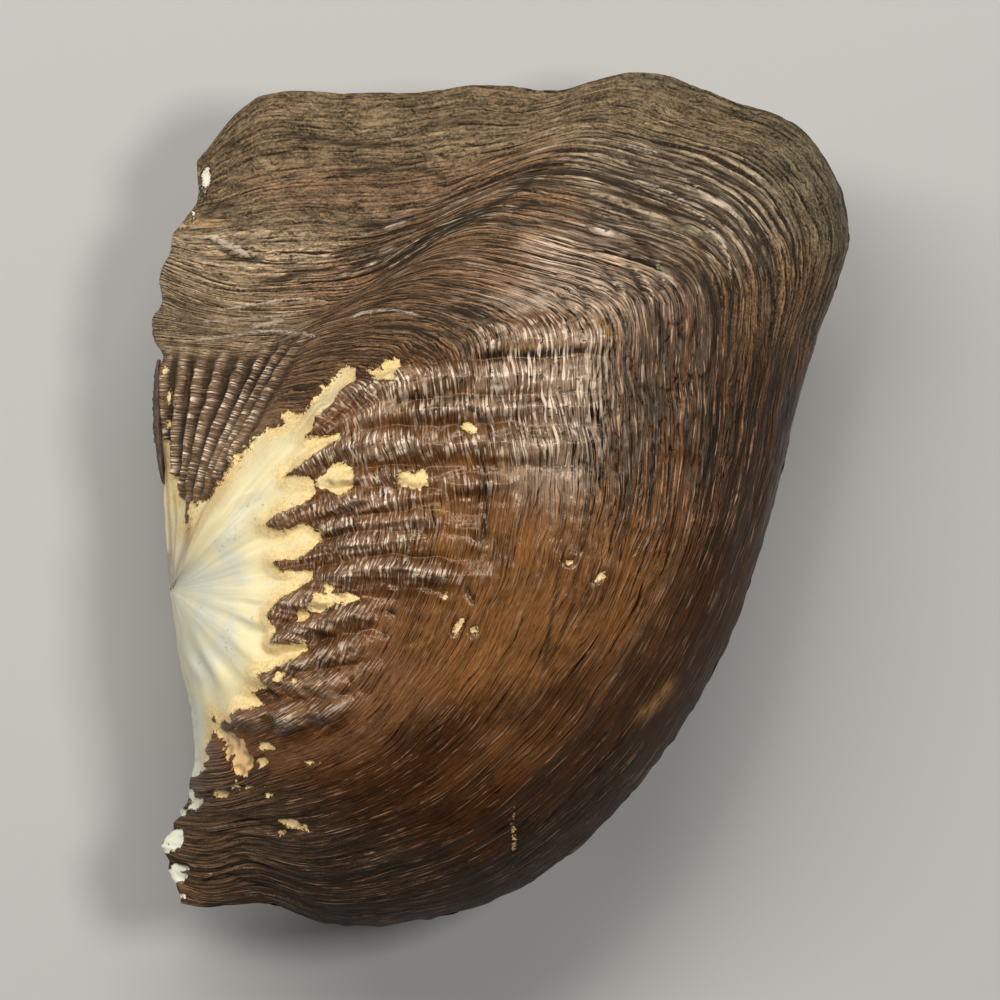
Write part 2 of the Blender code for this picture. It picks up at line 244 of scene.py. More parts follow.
# Soft zones on the sheet: middle, half length, half width, turn, colour, gloss, felt, growth lines
ZONES = (
    (300, 150, 170, 60, 0, "wing", 0.15, 1.0, 0.2),
    (420, 188, 110, 24, 8, "rust", 0.2, 0.8, 0.3),
    (320, 185, 80, 20, 0, "rust", 0.2, 0.8, 0.25),
    (225, 300, 90, 60, 0, "straw", 0.25, 1.0, 0.4),
    (310, 292, 70, 22, 0, "rust", 0.25, 0.9, 0.45),
    (450, 225, 110, 30, -32, "shade", 0.25, 0.6, 1.0),
    (390, 300, 80, 32, -20, "shade", 0.35, 0.5, 1.0),
    (470, 272, 50, 20, 8, "rust", 0.4, 0.5, 0.7),
    (300, 375, 100, 30, -12, "shade", 0.4, 0.6, 0.6),
    (215, 420, 60, 60, 0, "rib", 0.5, 0.3, 0.1),
    (620, 110, 170, 36, 5, "wing", 0.1, 1.0, 0.15),
    (690, 200, 110, 45, 30, "ash", 0.35, 0.7, 1.0),
    (810, 180, 40, 90, -25, "rim", 0.08, 1.0, 0.25),
    (700, 95, 110, 18, 15, "rim", 0.08, 1.0, 0.15),
    (780, 300, 60, 60, 20, "shade", 0.25, 1.0, 0.5),
    # Painted sheen: these zones tint the upper disc greyer where its gloss catches the light
    (600, 292, 60, 30, 10, "sheen", 0.7, 0.3, 0.7),
    (550, 335, 60, 30, 0, "sheen", 0.85, 0.2, 0.3),
    (540, 400, 52, 80, 0, "sheen", 0.85, 0.1, 0.25),
    (410, 430, 90, 55, 0, "fold", 0.9, 0.1, 0.1),
    (350, 560, 80, 70, 0, "fold", 0.95, 0.1, 0.1),
    (330, 690, 80, 60, 0, "fold", 0.9, 0.1, 0.15),
    (500, 590, 90, 90, 0, "amber", 0.8, 0.05, 0.1),
    (640, 560, 50, 130, 20, "amber", 0.7, 0.05, 0.25),
    (660, 420, 58, 130, 0, "chestnut", 0.6, 0.2, 1.0),
    (452, 336, 40, 22, -10, "shade", 0.4, 0.6, 1.0),
    (740, 430, 50, 120, 10, "red", 0.5, 0.5, 0.9),
    (560, 740, 140, 50, -35, "chestnut", 0.45, 0.05, 0.2),
    (520, 745, 80, 26, -30, "amber", 0.7, 0.05, 0.15),
    (690, 640, 60, 120, 28, "red", 0.25, 0.1, 0.25),
    (580, 810, 120, 50, -40, "night", 0.2, 0.25, 0.4),
    (440, 790, 110, 70, 0, "chestnut", 0.65, 0.1, 0.2),
    (420, 880, 140, 30, 0, "night", 0.25, 0.3, 0.4),
    (320, 860, 110, 50, 0, "night", 0.3, 0.4, 0.6),
    (215, 850, 60, 50, 0, "shade", 0.45, 0.6, 0.9),
)

# Painted highlights where the upper disc's growth lines glint: middle, half length, half width, turn on
# the sheet
GLINTS = (548, 385, 80, 110, 0)

# Painted highlights on ledges thin out down this band of the sheet, those on ridge tops and glints dull
# down these
PALE_LEDGES_FADE = (250.0, 350.0)
TOPS_DULL = (600.0, 700.0)
GLINTS_DULL = (600.0, 690.0)

# White chips on the sheet: left of a place and below or above one. Flaked edge: right, below, above
TOOTH_CHIPS = ((196.0, 212.0), (690.0, 710.0))
CORNER_CHIPS = ((212.0, 222.0), (215.0, 235.0))
FLAKED_EDGE = ((700.0, 780.0), (240.0, 330.0), (430.0, 460.0))

# How dark a crack is, with its dirt and painted shade, and how far a pale mark rises beside the depth
# of a crack
MARK_DARKNESS = 1.25
FLAKE_RISE = 0.6

# Cracks and grooves with dirt and painted shade on the sheet: half width, strength and points of a
# smooth line
DARK_MARKS = (
    (2.4, 1.0, ((281, 133), (310, 138), (345, 144), (390, 146))),
    (2.2, 0.8, ((222, 145), (245, 148), (256, 151))),
    (2.0, 0.6, ((255, 151), (275, 157), (292, 158))),
    (2.6, 0.9, ((335, 175), (375, 170), (420, 170), (452, 182))),
    (2.2, 0.8, ((205, 187), (225, 184), (242, 188))),
    (4.0, 0.6, ((198, 220), (220, 208), (238, 209))),
    (1.6, 0.7, ((318, 213), (340, 209), (364, 209))),
    (4.0, 0.5, ((368, 225), (388, 232))),
    (5.0, 0.5, ((428, 125), (452, 121), (482, 124))),
    (2.2, 0.9, ((225, 253), (240, 258), (264, 259))),
    (2.0, 0.8, ((286, 276), (312, 271))),
    (2.0, 0.7, ((264, 283), (292, 281))),
    (1.6, 0.5, ((205, 270), (250, 277), (292, 277), (340, 268))),
    (3.2, 0.9, ((380, 277), (420, 250), (460, 222), (505, 200), (550, 160))),
    (3.0, 0.8, ((398, 266), (440, 240), (475, 222), (505, 213))),
    (2.4, 0.7, ((505, 233), (545, 226), (602, 244))),
    (3.0, 1.0, ((604, 172), (640, 181), (676, 199), (706, 224))),
    (2.4, 1.0, ((598, 190), (645, 206), (682, 230), (702, 262), (704, 284))),
    (2.0, 0.8, ((650, 145), (664, 149), (678, 156))),
    (2.8, 0.8, ((712, 176), (735, 186), (750, 196))),
    (2.4, 0.6, ((752, 163), (778, 181))),
    (3.0, 0.8, ((768, 218), (786, 245), (796, 272))),
    (2.6, 0.7, ((790, 208), (802, 240), (804, 270))),
    (2.6, 0.7, ((748, 232), (756, 255), (757, 280))),
    (2.6, 0.8, ((727, 264), (731, 288), (726, 312))),
    (3.2, 0.9, ((702, 280), (707, 300), (706, 318))),
    (2.2, 0.9, ((574, 292), (582, 302), (584, 318))),
    (2.0, 0.9, ((556, 296), (564, 306), (566, 320))),
    (2.4, 1.0, ((600, 270), (612, 284), (614, 304))),
    (2.4, 1.0, ((622, 270), (636, 284), (640, 306))),
    (2.2, 0.9, ((648, 262), (657, 276), (656, 296))),
    (2.2, 0.8, ((668, 262), (676, 280), (674, 302))),
    (2.4, 0.8, ((520, 178), (560, 172), (606, 184), (640, 198))),
    (2.0, 0.8, ((512, 190), (552, 186), (596, 200), (636, 220), (662, 244))),
    (2.0, 0.8, ((500, 214), (548, 206), (590, 216), (626, 238), (648, 260))),
    (4.0, 0.9, ((478, 361), (530, 358), (570, 353), (598, 356))),
    (2.2, 0.8, ((398, 400), (450, 401), (502, 397))),
    (2.2, 0.8, ((430, 413), (455, 407), (478, 416), (500, 448))),
    (2.2, 1.0, ((485, 478), (487, 510), (484, 541))),
    (1.6, 0.4, ((602, 330), (605, 400), (610, 470))),
    (1.8, 0.7, ((583, 415), (585, 450), (582, 490))),
    (1.8, 0.6, ((560, 470), (562, 520), (554, 600), (538, 690))),
    (1.6, 0.6, ((584, 500), (578, 570), (566, 620), (547, 665))),
    (3.0, 0.8, ((189, 520), (186, 540), (179, 560), (172, 584))),
    (2.0, 0.6, ((192, 845), (212, 834), (240, 832), (280, 838))),
    (2.0, 0.6, ((190, 862), (215, 850), (245, 855), (290, 868))),
    (2.4, 0.6, ((200, 884), (225, 872), (250, 880), (300, 893))),
    (2.0, 0.5, ((205, 818), (235, 812), (262, 818), (300, 832))),
    (1.8, 0.7, ((500, 403), (530, 404), (560, 396), (578, 392))),
    (1.8, 0.6, ((518, 432), (545, 438), (582, 428))),
    (1.6, 0.5, ((520, 463), (556, 468), (584, 463))),
    (1.8, 0.8, ((218, 247), (236, 258), (262, 262))),
    (1.3, 0.7, ((165, 446), (167, 490), (169, 530), (170, 566))),
    (1.2, 0.6, ((172, 488), (174, 520), (173, 548), (171, 578))),
    (2.2, 0.9, ((167, 552), (168, 566), (169, 588))),
    (1.6, 0.5, ((214, 487), (200, 515), (188, 545), (180, 575))),
    (2.0, 1.0, ((333, 480), (338, 486))),
    (2.0, 0.9, ((342, 592), (350, 596))),
    (3.0, 1.0, ((390, 608), (396, 613))),
    (3.0, 0.9, ((386, 630), (388, 634))),
    (3.0, 0.8, ((466, 583), (474, 600))),
    (8.0, 0.7, ((636, 390), (646, 404), (650, 418))),
    (1.8, 1.2, ((231, 734), (239, 740), (238, 748))),
    (1.8, 1.2, ((244, 751), (252, 757), (248, 764))),
    (1.6, 1.2, ((237, 763), (244, 768), (243, 775))),
    (1.6, 1.0, ((225, 738), (231, 747), (229, 754))),
)

# Raised pale marks, in the same way: bleached flakes of skin, and painted highlights on raised growth
# lines
PALE_MARKS = (
    (2.0, 0.8, ((564, 290), (574, 302), (575, 318))),
    (2.0, 0.8, ((586, 272), (600, 286), (602, 304))),
    (1.6, 0.5, ((194, 853), (214, 842), (240, 843), (270, 850))),
    (1.6, 0.5, ((206, 828), (230, 823), (256, 824), (290, 836))),
    (1.8, 0.5, ((192, 884), (212, 872), (232, 864), (262, 866))),
    (1.6, 0.5, ((238, 896), (258, 893), (282, 895), (312, 906))),
    (2.8, 0.8, ((622, 149), (645, 153), (662, 161))),
    (3.0, 0.5, ((598, 158), (640, 167), (672, 180))),
    (2.0, 0.9, ((674, 180), (690, 189), (704, 200))),
    (2.4, 1.0, ((620, 183), (655, 190), (700, 220), (724, 258), (727, 286))),
    (1.6, 1.0, ((726, 214), (738, 228), (748, 244))),
    (2.6, 0.6, ((648, 214), (680, 236), (696, 262))),
    (2.4, 1.0, ((608, 285), (620, 291), (622, 308))),
    (2.4, 1.0, ((630, 272), (646, 288), (650, 312))),
    (2.0, 0.9, ((655, 268), (662, 284), (660, 300))),
    (3.0, 0.5, ((530, 304), (560, 296), (598, 292))),
    (2.2, 0.9, ((185, 341), (240, 337), (280, 334), (330, 341))),
    (2.0, 0.8, ((196, 323), (250, 320), (300, 316))),
    (2.0, 0.9, ((218, 311), (260, 304), (300, 299), (332, 304))),
    (3.4, 1.0, ((250, 328), (270, 325), (286, 321))),
    (1.8, 1.0, ((350, 322), (380, 314), (404, 315), (424, 321))),
    (3.0, 0.5, ((208, 161), (240, 166))),
    (3.6, 0.5, ((196, 288), (215, 291), (250, 286))),
    (1.6, 0.6, ((450, 471), (470, 470), (489, 471))),
    (4.0, 1.4, ((210, 237), (224, 243), (238, 250), (250, 257))),
)

# Golden streaks of thin skin, in the same way
GOLD_MARKS = (
    (2.6, 0.6, ((596, 186), (646, 210), (686, 238), (698, 262))),
    (3.0, 0.7, ((612, 288), (620, 298), (620, 312))),
    (4.0, 0.5, ((496, 352), (540, 350), (582, 350))),
    (4.0, 0.5, ((586, 318), (600, 328), (610, 340))),
    (6.0, 0.75, ((638, 714), (654, 699), (671, 680))),
    (5.0, 0.7, ((436, 504), (444, 512))),
    (3.0, 0.3, ((408, 644), (428, 640), (436, 632))),
    (5.0, 0.6, ((192, 219), (204, 223), (216, 225))),
)

# Seeds of the two valves' noise and ledges
UPPER_SEED = 3
LOWER_SEED = 11

# What a valve's mesh keeps for its material: name, value at the beak and value inside the valve
KEPT_VALUES = (
    ("worn", 9.0, 9.0),
    ("gloss", 0.8, 0.8),
    ("felt", 0.1, 0.0),
    ("lines", 0.1, 0.0),
    ("bleach", 0.0, 0.0),
    ("flake", 0.0, 0.0),
)

# Growth that each of the two rings of a valve's rim adds
RIM_STEP = 0.3

# Noises that run along the growth lines: scale along and across them, detail, roughness, distortion
GRAINS = {
    "meander": (0.07, 0.25, 1.0, 0.6, 0.0),
    "sway": (0.3, 0.4, 3.0, 0.6, 0.0),
    "rings": (0.035, 0.3, 3.0, 0.5, 0.0),
    "fibre": (0.05, 3.2, 3.0, 0.6, 0.1),
    "thread": (0.05, 9.0, 3.0, 0.6, 0.0),
    "hair": (0.45, 6.5, 3.0, 0.65, 0.1),
    "fuzz": (0.38, 5.5, 4.0, 0.72, 0.35),
    "band": (0.05, 0.55, 4.0, 0.6, 0.3),
    "flow": (0.08, 0.6, 2.0, 0.6, 0.0),
    "snaps": (0.2, 1.0, 2.0, 0.6, 0.0),
    "breaks": (0.5, 1.1, 2.0, 0.6, 0.0),
    "patchy": (0.35, 0.8, 2.0, 0.6, 0.0),
    "wire": (0.13, 5.0, 1.0, 0.5, 0.1),
    "tick": (0.18, 4.2, 1.0, 0.6, 0.0),
    "holes": (1.1, 2.2, 2.0, 0.6, 0.0),
    "rays": (0.13, 0.1, 2.0, 0.6, 0.0),
}

# Noises that run every way: scale, detail, roughness
SPECKS = {
    "grit": (3.4, 3.0, 0.7),
    "mottle": (0.3, 3.0, 0.55),
    "ragged": (1.9, 4.0, 0.75),
    "pits": (2.6, 2.0, 0.5),
    "dimples": (2.0, 3.0, 0.55),
}

# Darkest and lightest shades of the skin beside its tint
DEEP_SHADE = (0.06, 0.045, 0.035, 1.0)
LIGHT_SHADE = (2.7, 2.68, 2.65, 1.0)

# The skin's gloss
SKIN_IOR = 1.34
WARM_GLOSS = (1.0, 0.82, 0.62, 1.0)

# Lights of the stage: name, place, point that it looks at, size, setting of its power, colour
SHELL_POINT = (0.0, 0.0, 0.02)
RIDGE_POINT = (-0.3, 0.0, 0.02)
LIGHTS = (
    ("key_light", (0.06, 0.40, 0.52), SHELL_POINT, (0.24, 0.24), "key_power", (1.0, 0.98, 0.95)),
    ("fill_light", (-0.56, 0.05, 0.17), SHELL_POINT, (0.16, 0.06), "fill_power", (1.0, 0.99, 0.97)),
    ("top_light", (0.20, 0.05, 0.58), SHELL_POINT, (0.11, 0.11), "top_power", (1.0, 0.97, 0.93)),
    ("strip_light", (-0.3, 0.24, 0.55), RIDGE_POINT, (0.55, 0.07), "strip_power", (1.0, 0.97, 0.93)),
)
SENSOR_WIDTH = 36.0

# The band runs along the hinge edge between these growth stages. It sinks into the edge by
# BAND_SINK and thins to BAND_END_SIZE of its size at its ends
BAND_SPAN = (0.22, 0.51)
BAND_SECTIONS = 120
BAND_SIDES = 28
BAND_HALF_WIDTH = 0.42 * MM
BAND_HALF_HEIGHT = 1.8 * MM
BAND_END_SIZE = 0.3
BAND_SINK = 0.25 * MM

# Large odd numbers that scramble the place of a cell of noise
SCRAMBLE = (374761393, 668265263, 974634777, 1274126177)


def smooth_step(low, high, value):
    """Runs from nought to one between low and high."""
    part = np.clip((value - low) / (high - low), 0.0, 1.0)
    return part * part * (3.0 - 2.0 * part)


def span_step(start, full, fading, gone, value):
    """Rises from nought to one between start and full, and falls again between fading and gone."""
    return smooth_step(start, full, value) * (1.0 - smooth_step(fading, gone, value))


def bell(value, width):
    """One at nought, and falling off on both sides over the width."""
    return np.exp(-(value / width) ** 2)


def smooth_curve(knots, values, places):
    """Natural cubic curve through the values, read at the places."""
    knots = np.asarray(knots, float)
    values = np.asarray(values, float).reshape(len(knots), -1)
    gaps = np.diff(knots)
    slopes = np.diff(values, axis=0) / gaps[:, None]
    system = np.eye(len(knots))
    bends = np.zeros_like(values)
    for i in range(1, len(knots) - 1):
        system[i, i - 1:i + 2] = gaps[i - 1], 2.0 * (gaps[i - 1] + gaps[i]), gaps[i]
        bends[i] = 6.0 * (slopes[i] - slopes[i - 1])
    bends = np.linalg.solve(system, bends)
    k = np.clip(np.searchsorted(knots, places, side="right") - 1, 0, len(gaps) - 1)
    gap = gaps[k][:, None]
    after = (knots[k + 1] - places)[:, None]
    before = (places - knots[k])[:, None]
    return ((bends[k] * after ** 3 + bends[k + 1] * before ** 3) / (6.0 * gap)
            + (values[k] / gap - bends[k] * gap / 6.0) * after
            + (values[k + 1] / gap - bends[k + 1] * gap / 6.0) * before)


def cell_value(i, j, seed):
    """Fixed value from minus one to one for each whole cell."""
    for_x, for_y, for_seed, again = SCRAMBLE
    mixed = (i * for_x + j * for_y + seed * for_seed) & 0xFFFFFFFF
    mixed = ((mixed ^ (mixed >> 13)) * again) & 0xFFFFFFFF
    return ((mixed ^ (mixed >> 16)) & 0xFFFF) / 32767.5 - 1.0


def noise(x, y, seed):
    """Smooth random field from minus one to one, with one cell to a unit."""
    x, y = np.broadcast_arrays(np.asarray(x, float), np.asarray(y, float))
    i = np.floor(x).astype(np.int64)
    j = np.floor(y).astype(np.int64)
    u = smooth_step(0.0, 1.0, x - i)
    v = smooth_step(0.0, 1.0, y - j)
    low = cell_value(i, j, seed) * (1.0 - u) + cell_value(i + 1, j, seed) * u
    high = cell_value(i, j + 1, seed) * (1.0 - u) + cell_value(i + 1, j + 1, seed) * u
    return low * (1.0 - v) + high * v


def layered_noise(x, y, seed, layers=4, keep=0.55):
    """Sum of ever finer noise."""
    total = 0.0
    size = 1.0
    for layer in range(layers):
        total = total + size * noise(x * 2.0 ** layer, y * 2.0 ** layer, seed + layer)
        size *= keep
    return total


def sheet_noise(places, width, height, seed):
    """Noise on the sheet, with cells of this width and height."""
    return noise(places[..., 0] / width, places[..., 1] / height, seed)


def landmark_places():
    """Place of each landmark along the edge, from nought to one."""
    edge = np.array([mark[0] for mark in LANDMARKS], float)
    early = np.array([mark[2] for mark in LANDMARKS], float)
    edge_steps = np.linalg.norm(np.diff(edge, axis=0), axis=1)
    early_steps = np.linalg.norm(np.diff(early, axis=0), axis=1)
    steps = edge_steps / edge_steps.sum() + early_steps / early_steps.sum()
    return np.concatenate(([0.0], np.cumsum(steps) / steps.sum()))


def plan(rows, columns):
    """Grid of flat positions in drawing units, by row, column and axis."""
    places = landmark_places()
    stages = np.array(STAGES)
    lines = [np.zeros((len(columns), 2))]
    for stage in (2, 1, 0):
        lines.append(smooth_curve(places, [mark[stage] for mark in LANDMARKS], columns))
    lines = np.array(lines)
    spans = np.diff(stages)
    speeds = np.diff(lines, axis=0) / spans[:, None, None]
    starts = np.empty_like(lines)
    for i in (1, 2):
        total = spans[i - 1] + spans[i]
        starts[i] = (speeds[i - 1] * spans[i] + speeds[i] * spans[i - 1]) / total
    starts[0] = 1.5 * speeds[0] - 0.5 * starts[1]
    starts[3] = 1.5 * speeds[2] - 0.5 * starts[2]
    grid = np.empty((len(rows), len(columns), 2))
    for row, stage in enumerate(rows):
        k = min(int(np.searchsorted(stages, stage, side="right")) - 1, 2)
        u = (stage - stages[k]) / spans[k]
        bend = starts[k] * u * (1.0 - u) ** 2 - starts[k + 1] * u * u * (1.0 - u)
        grid[row] = (lines[k] * (1.0 + 2.0 * u) * (1.0 - u) ** 2
                     + lines[k + 1] * u * u * (3.0 - 2.0 * u)
                     + spans[k] * bend)
    return grid


def swell(rows, columns):
    """Height of the smooth shell above its edge, by row and column."""
    places = landmark_places()
    heights = np.array([mark[3] for mark in LANDMARKS]) * MM
    peak = np.maximum(smooth_curve(places, heights, columns)[:, 0], 0.0)
    fall = smooth_curve(places, [mark[4] for mark in LANDMARKS], columns)[:, 0]
    top = RISE / (RISE + fall)
    stage = np.asarray(rows, float)[:, None]
    return peak * (stage / top) ** RISE * ((1.0 - stage) / (1.0 - top)) ** fall


def round_beak(flat):
    """Turn round the beak in degrees and distance from it, in drawing units."""
    return np.degrees(np.arctan2(flat[..., 1], flat[..., 0])), np.linalg.norm(flat, axis=-1)


def rounded_beak(heights, flat, rows, columns):
    """Evens out the heights round the beak, so that the worn dome there is smooth."""
    turns, away = round_beak(flat)
    even = np.arange(-100.0, 112.0)
    kernel = np.exp(-0.5 * (np.arange(-20.0, 21.0) / BEAK_SPREAD) ** 2)
    inner = span_step(0.0, 0.1, 0.9, 1.0, columns)
    rounded = heights.copy()
    for row, stage in enumerate(rows):
        share = inner * (1.0 - smooth_step(*BEAK_ROUNDING, stage))
        if share.max() > 0.0:
            steep = heights[row] / away[row] ** RISE
            order = np.argsort(turns[row])
            steep = np.interp(even, turns[row][order], steep[order])
            whole = np.convolve(np.ones_like(steep), kernel, "same")
            steep = np.convolve(steep, kernel, "same") / whole
            smooth = np.interp(turns[row], even, steep) * away[row] ** RISE
            rounded[row] += share * (smooth - heights[row])
    return rounded


def plate(flat, rows, lip):
    """Extra thickness of the shell wall just inside its edge."""
    reach = np.linalg.norm(flat[-1], axis=1) * UNIT
    from_edge = (1.0 - np.asarray(rows, float))[:, None] * reach
    from_back = np.abs(flat[:, :, 0] - flat[:, :1, 0]) * UNIT
    from_front = np.abs(flat[:, :, 0] - flat[:, -1:, 0]) * UNIT
    rise = np.ones_like(from_edge)
    for away in (from_edge, from_back, from_front):
        rise = rise * (1.0 - np.exp(-away / PLATE_RISE))
    return (WING_PLATE - lip) * rise


def outward(points):
    """Outward direction of the surface at every grid point."""
    along = np.gradient(points, axis=0)
    across = np.gradient(points, axis=1)
    normals = np.cross(across, along)
    lengths = np.linalg.norm(normals, axis=2, keepdims=True)
    return normals / np.maximum(lengths, 1e-12)


def sheet_places(flat):
    """Drawing units turned into places on the sheet."""
    return np.stack((SHEET_BEAK[0] + flat[..., 0], SHEET_BEAK[1] - flat[..., 1]), axis=-1)


def side_distance(places, start, end):
    """Distance to a straight side, and how far along it the nearest point is."""
    step = end - start
    part = np.clip(((places - start) @ step) / (step @ step), 0.0, 1.0)
    return np.linalg.norm(places - start - part[..., None] * step, axis=-1), part


def line_distance(places, line, steps=10):
    """Distance to a smooth line, and how far along it the nearest point is."""
    knots = np.linspace(0.0, 1.0, len(line))
    points = smooth_curve(knots, line, np.linspace(0.0, 1.0, steps))
    nearest = np.full(places.shape[:-1], np.inf)
    along = np.zeros(places.shape[:-1])
    for i in range(len(points) - 1):
        gap, part = side_distance(places, points[i], points[i + 1])
        along = np.where(gap < nearest, (i + part) / (len(points) - 1), along)
        nearest = np.minimum(nearest, gap)
    return nearest, along


def outline_distance(places, outline):
    """Distance to a closed outline, above nought inside it."""
    corners = np.array(outline, float)
    nearest = np.full(places.shape[:-1], np.inf)
    inside = np.zeros(places.shape[:-1], bool)
    for start, end in zip(corners, np.roll(corners, -1, axis=0)):
        step = end - start
        nearest = np.minimum(nearest, side_distance(places, start, end)[0])
        if step[1] != 0.0:
            crosses = (start[1] > places[..., 1]) != (end[1] > places[..., 1])
            crossing = start[0] + (places[..., 1] - start[1]) * step[0] / step[1]
            inside ^= crosses & (places[..., 0] < crossing)
    return np.where(inside, nearest, -nearest)


def oval_measure(places, oval):
    """Place in an oval's own directions: nought in its middle and one on its rim."""
    x, y, half_length, half_width, turn = oval
    cosine = np.cos(np.radians(turn))
    sine = np.sin(np.radians(turn))
    away_x = places[..., 0] - x
    away_y = places[..., 1] - y
    long = (away_x * cosine + away_y * sine) / half_length
    wide = (-away_x * sine + away_y * cosine) / half_width
    return np.sqrt(long * long + wide * wide)


def soft_oval(places, oval, sharpness=2.0):
    """One in the middle of an oval, and fading softly across its rim."""
    return np.exp(-sharpness * oval_measure(places, oval) ** 2)


def worn_depth(places, seed):
    """How far inside worn shell each place is, in millimetres, below nought on the skin."""
    ragged = 1.5 * sheet_noise(places, 6.0, 6.0, seed)
    ragged += 0.7 * sheet_noise(places, 2.6, 2.6, seed + 1)
    ragged *= 1.0 + FRAYED_MORE * soft_oval(places, FRAYED_SPOT, 1.0)
    lobes = 2.4 * sheet_noise(places, 9.0, 9.0, seed + 2)
    depth = outline_distance(places, PEARL) + ragged
    for patch in PATCHES:
        size = min(patch[2], patch[3])
        unevenness = 0.6 * ragged + min(size / 8.0, 1.0) * lobes
        depth = np.maximum(depth, (1.0 - oval_measure(places, patch)) * size + unevenness)
    return depth * UNIT / MM


def crest_relief(flat, places):
    """Height of the bold ridges, painted shade in the grooves between them, and how near any ridge is.
    """
    height = np.zeros(flat.shape[:2])
    zone = np.zeros(flat.shape[:2])
    sideways = sheet_noise(places, 22.0, 22.0, 5)
    upright = sheet_noise(places, 22.0, 14.0, 6) + 0.6 * sheet_noise(places, 11.0, 8.0, 8)
    wander = np.stack((sideways, upright), axis=-1)
    for number, (half_width, crest) in enumerate(CRESTS):
        away, along = line_distance(flat + 2.6 * wander, crest)
        run_out = RUN_OUT if number < UPPER_CRESTS else LOWER_RUN_OUT
        strength = smooth_step(-0.3, 0.3, along) * (1.0 - run_out * smooth_step(0.6, 1.0, along))
        strength *= 0.85 + 0.45 * noise(along * 7.0, 5.3 * number, 9)
        if number == 0:
            strength *= smooth_step(*TOPMOST_START, along)
        bar = np.maximum(1.0 - (away / (1.15 * half_width)) ** 1.2, 0.0)
        height = np.maximum(height, strength * bar)
        zone = np.maximum(zone, strength * bell(away, 1.7 * half_width))
    # Painted shade in the grooves between the ridges, where the bars are low
    low = 1.0 - smooth_step(0.05, 0.55, height / np.maximum(zone, 0.05))
    groove = smooth_step(0.2, 0.6, zone) * low
    return height, groove, zone


def rib_relief(rows, columns):
    """Height of the fine ribs between the beak and the wing, and the painted shade between them."""
    stage = rows[:, None] + 0.015 * noise(columns * 60.0, 0.0, 41)[None, :]
    strength = span_step(*RIB_SPAN, stage)
    turns = np.interp(columns, landmark_places()[:len(RIB_COUNTS)], RIB_COUNTS)
    turns = turns[None, :] + 0.2 * noise(turns[None, :] / 2.0, rows[:, None] * 12.0, 42)
    turns += 0.06 * noise(turns * 1.5, rows[:, None] * 55.0, 43)
    side = span_step(0.0, 0.6, RIB_COUNTS[-1] - 1.2, RIB_COUNTS[-1], turns)
    wave = 0.5 - 0.5 * np.cos(2.0 * np.pi * turns)
    return strength * side * wave ** 1.5, strength * side * smooth_step(0.3, 0.8, 1.0 - wave)


def growth_ledges(rows, columns, seed, count, span, reach, drop):
    """Layered growth edges: relief, a painted shadow line under each edge and a painted highlight line
    on it.
    """
    growth = rows[:, None] * GROWTH_LENGTH
    along = columns * EDGE_LENGTH
    picks = np.random.default_rng(seed)
    starts = np.sort(picks.uniform(span[0], span[1], count)) * GROWTH_LENGTH
    sizes = picks.uniform(0.25, 1.0, count)
    relief = np.zeros((len(rows), len(columns)))
    dark = np.zeros_like(relief)
    pale = np.zeros_like(relief)
    for k in range(count):
        wander = 0.8 * noise(along / 13.0, k * 3.7, seed) + 0.12 * noise(along / 2.6, k * 5.1, seed + 1)
        here = smooth_step(-0.15, 0.5, noise(along / 15.0 + 9.1 * k, k * 1.3, seed + 2)) * sizes[k]
        away = growth - starts[k] - wander[None, :]
        slope = np.exp(np.minimum(away, 0.0) / reach)
        relief += here * np.where(away < 0.0, slope, bell(away, drop))
        dark += here * bell(away - 1.2 * drop, 1.1 * drop)
        pale += here * bell(away + 0.7 * drop, drop)
    return relief, dark, pale


def row_places():
    """Rows of the mesh from just off the beak to the edge."""
    start, end = MIDDLE_SPAN
    near = start * (np.arange(1, BEAK_ROWS + 1) / (BEAK_ROWS + 1)) ** 1.6
    middle = np.linspace(start, end, MIDDLE_ROWS, endpoint=False)
    return np.concatenate((near, middle, np.linspace(end, 1.0, OUTER_ROWS)))


def frayed(flat, rows, columns, seed):
    """Plan with small bites and frays along the outer edge and the hinge edge."""
    outwards = np.gradient(flat, axis=0)
    outwards /= np.maximum(np.linalg.norm(outwards, axis=2, keepdims=True), 1e-9)
    bites = 1.3 * noise(columns * 150.0, 0.0, seed) + 1.0 * noise(columns * 61.0, 3.0, seed)
    near_edge = smooth_step(FRAYED_FROM, 1.0, rows)[:, None]
    moved = flat + outwards * (bites[None, :] * near_edge - 0.6 * near_edge)[:, :, None]
    for wobble, away in ((BACK_WOBBLE, columns), (FRONT_WOBBLE, 1.0 - columns)):
        stray = smooth_curve(*zip(*wobble), rows)[:, 0] + 0.9 * noise(rows * 55.0, 7.0, seed)
        stray *= smooth_step(0.05, 0.2, rows)
        moved[:, :, 0] += stray[:, None] * bell(away, HINGE_REACH)[None, :]
    return moved


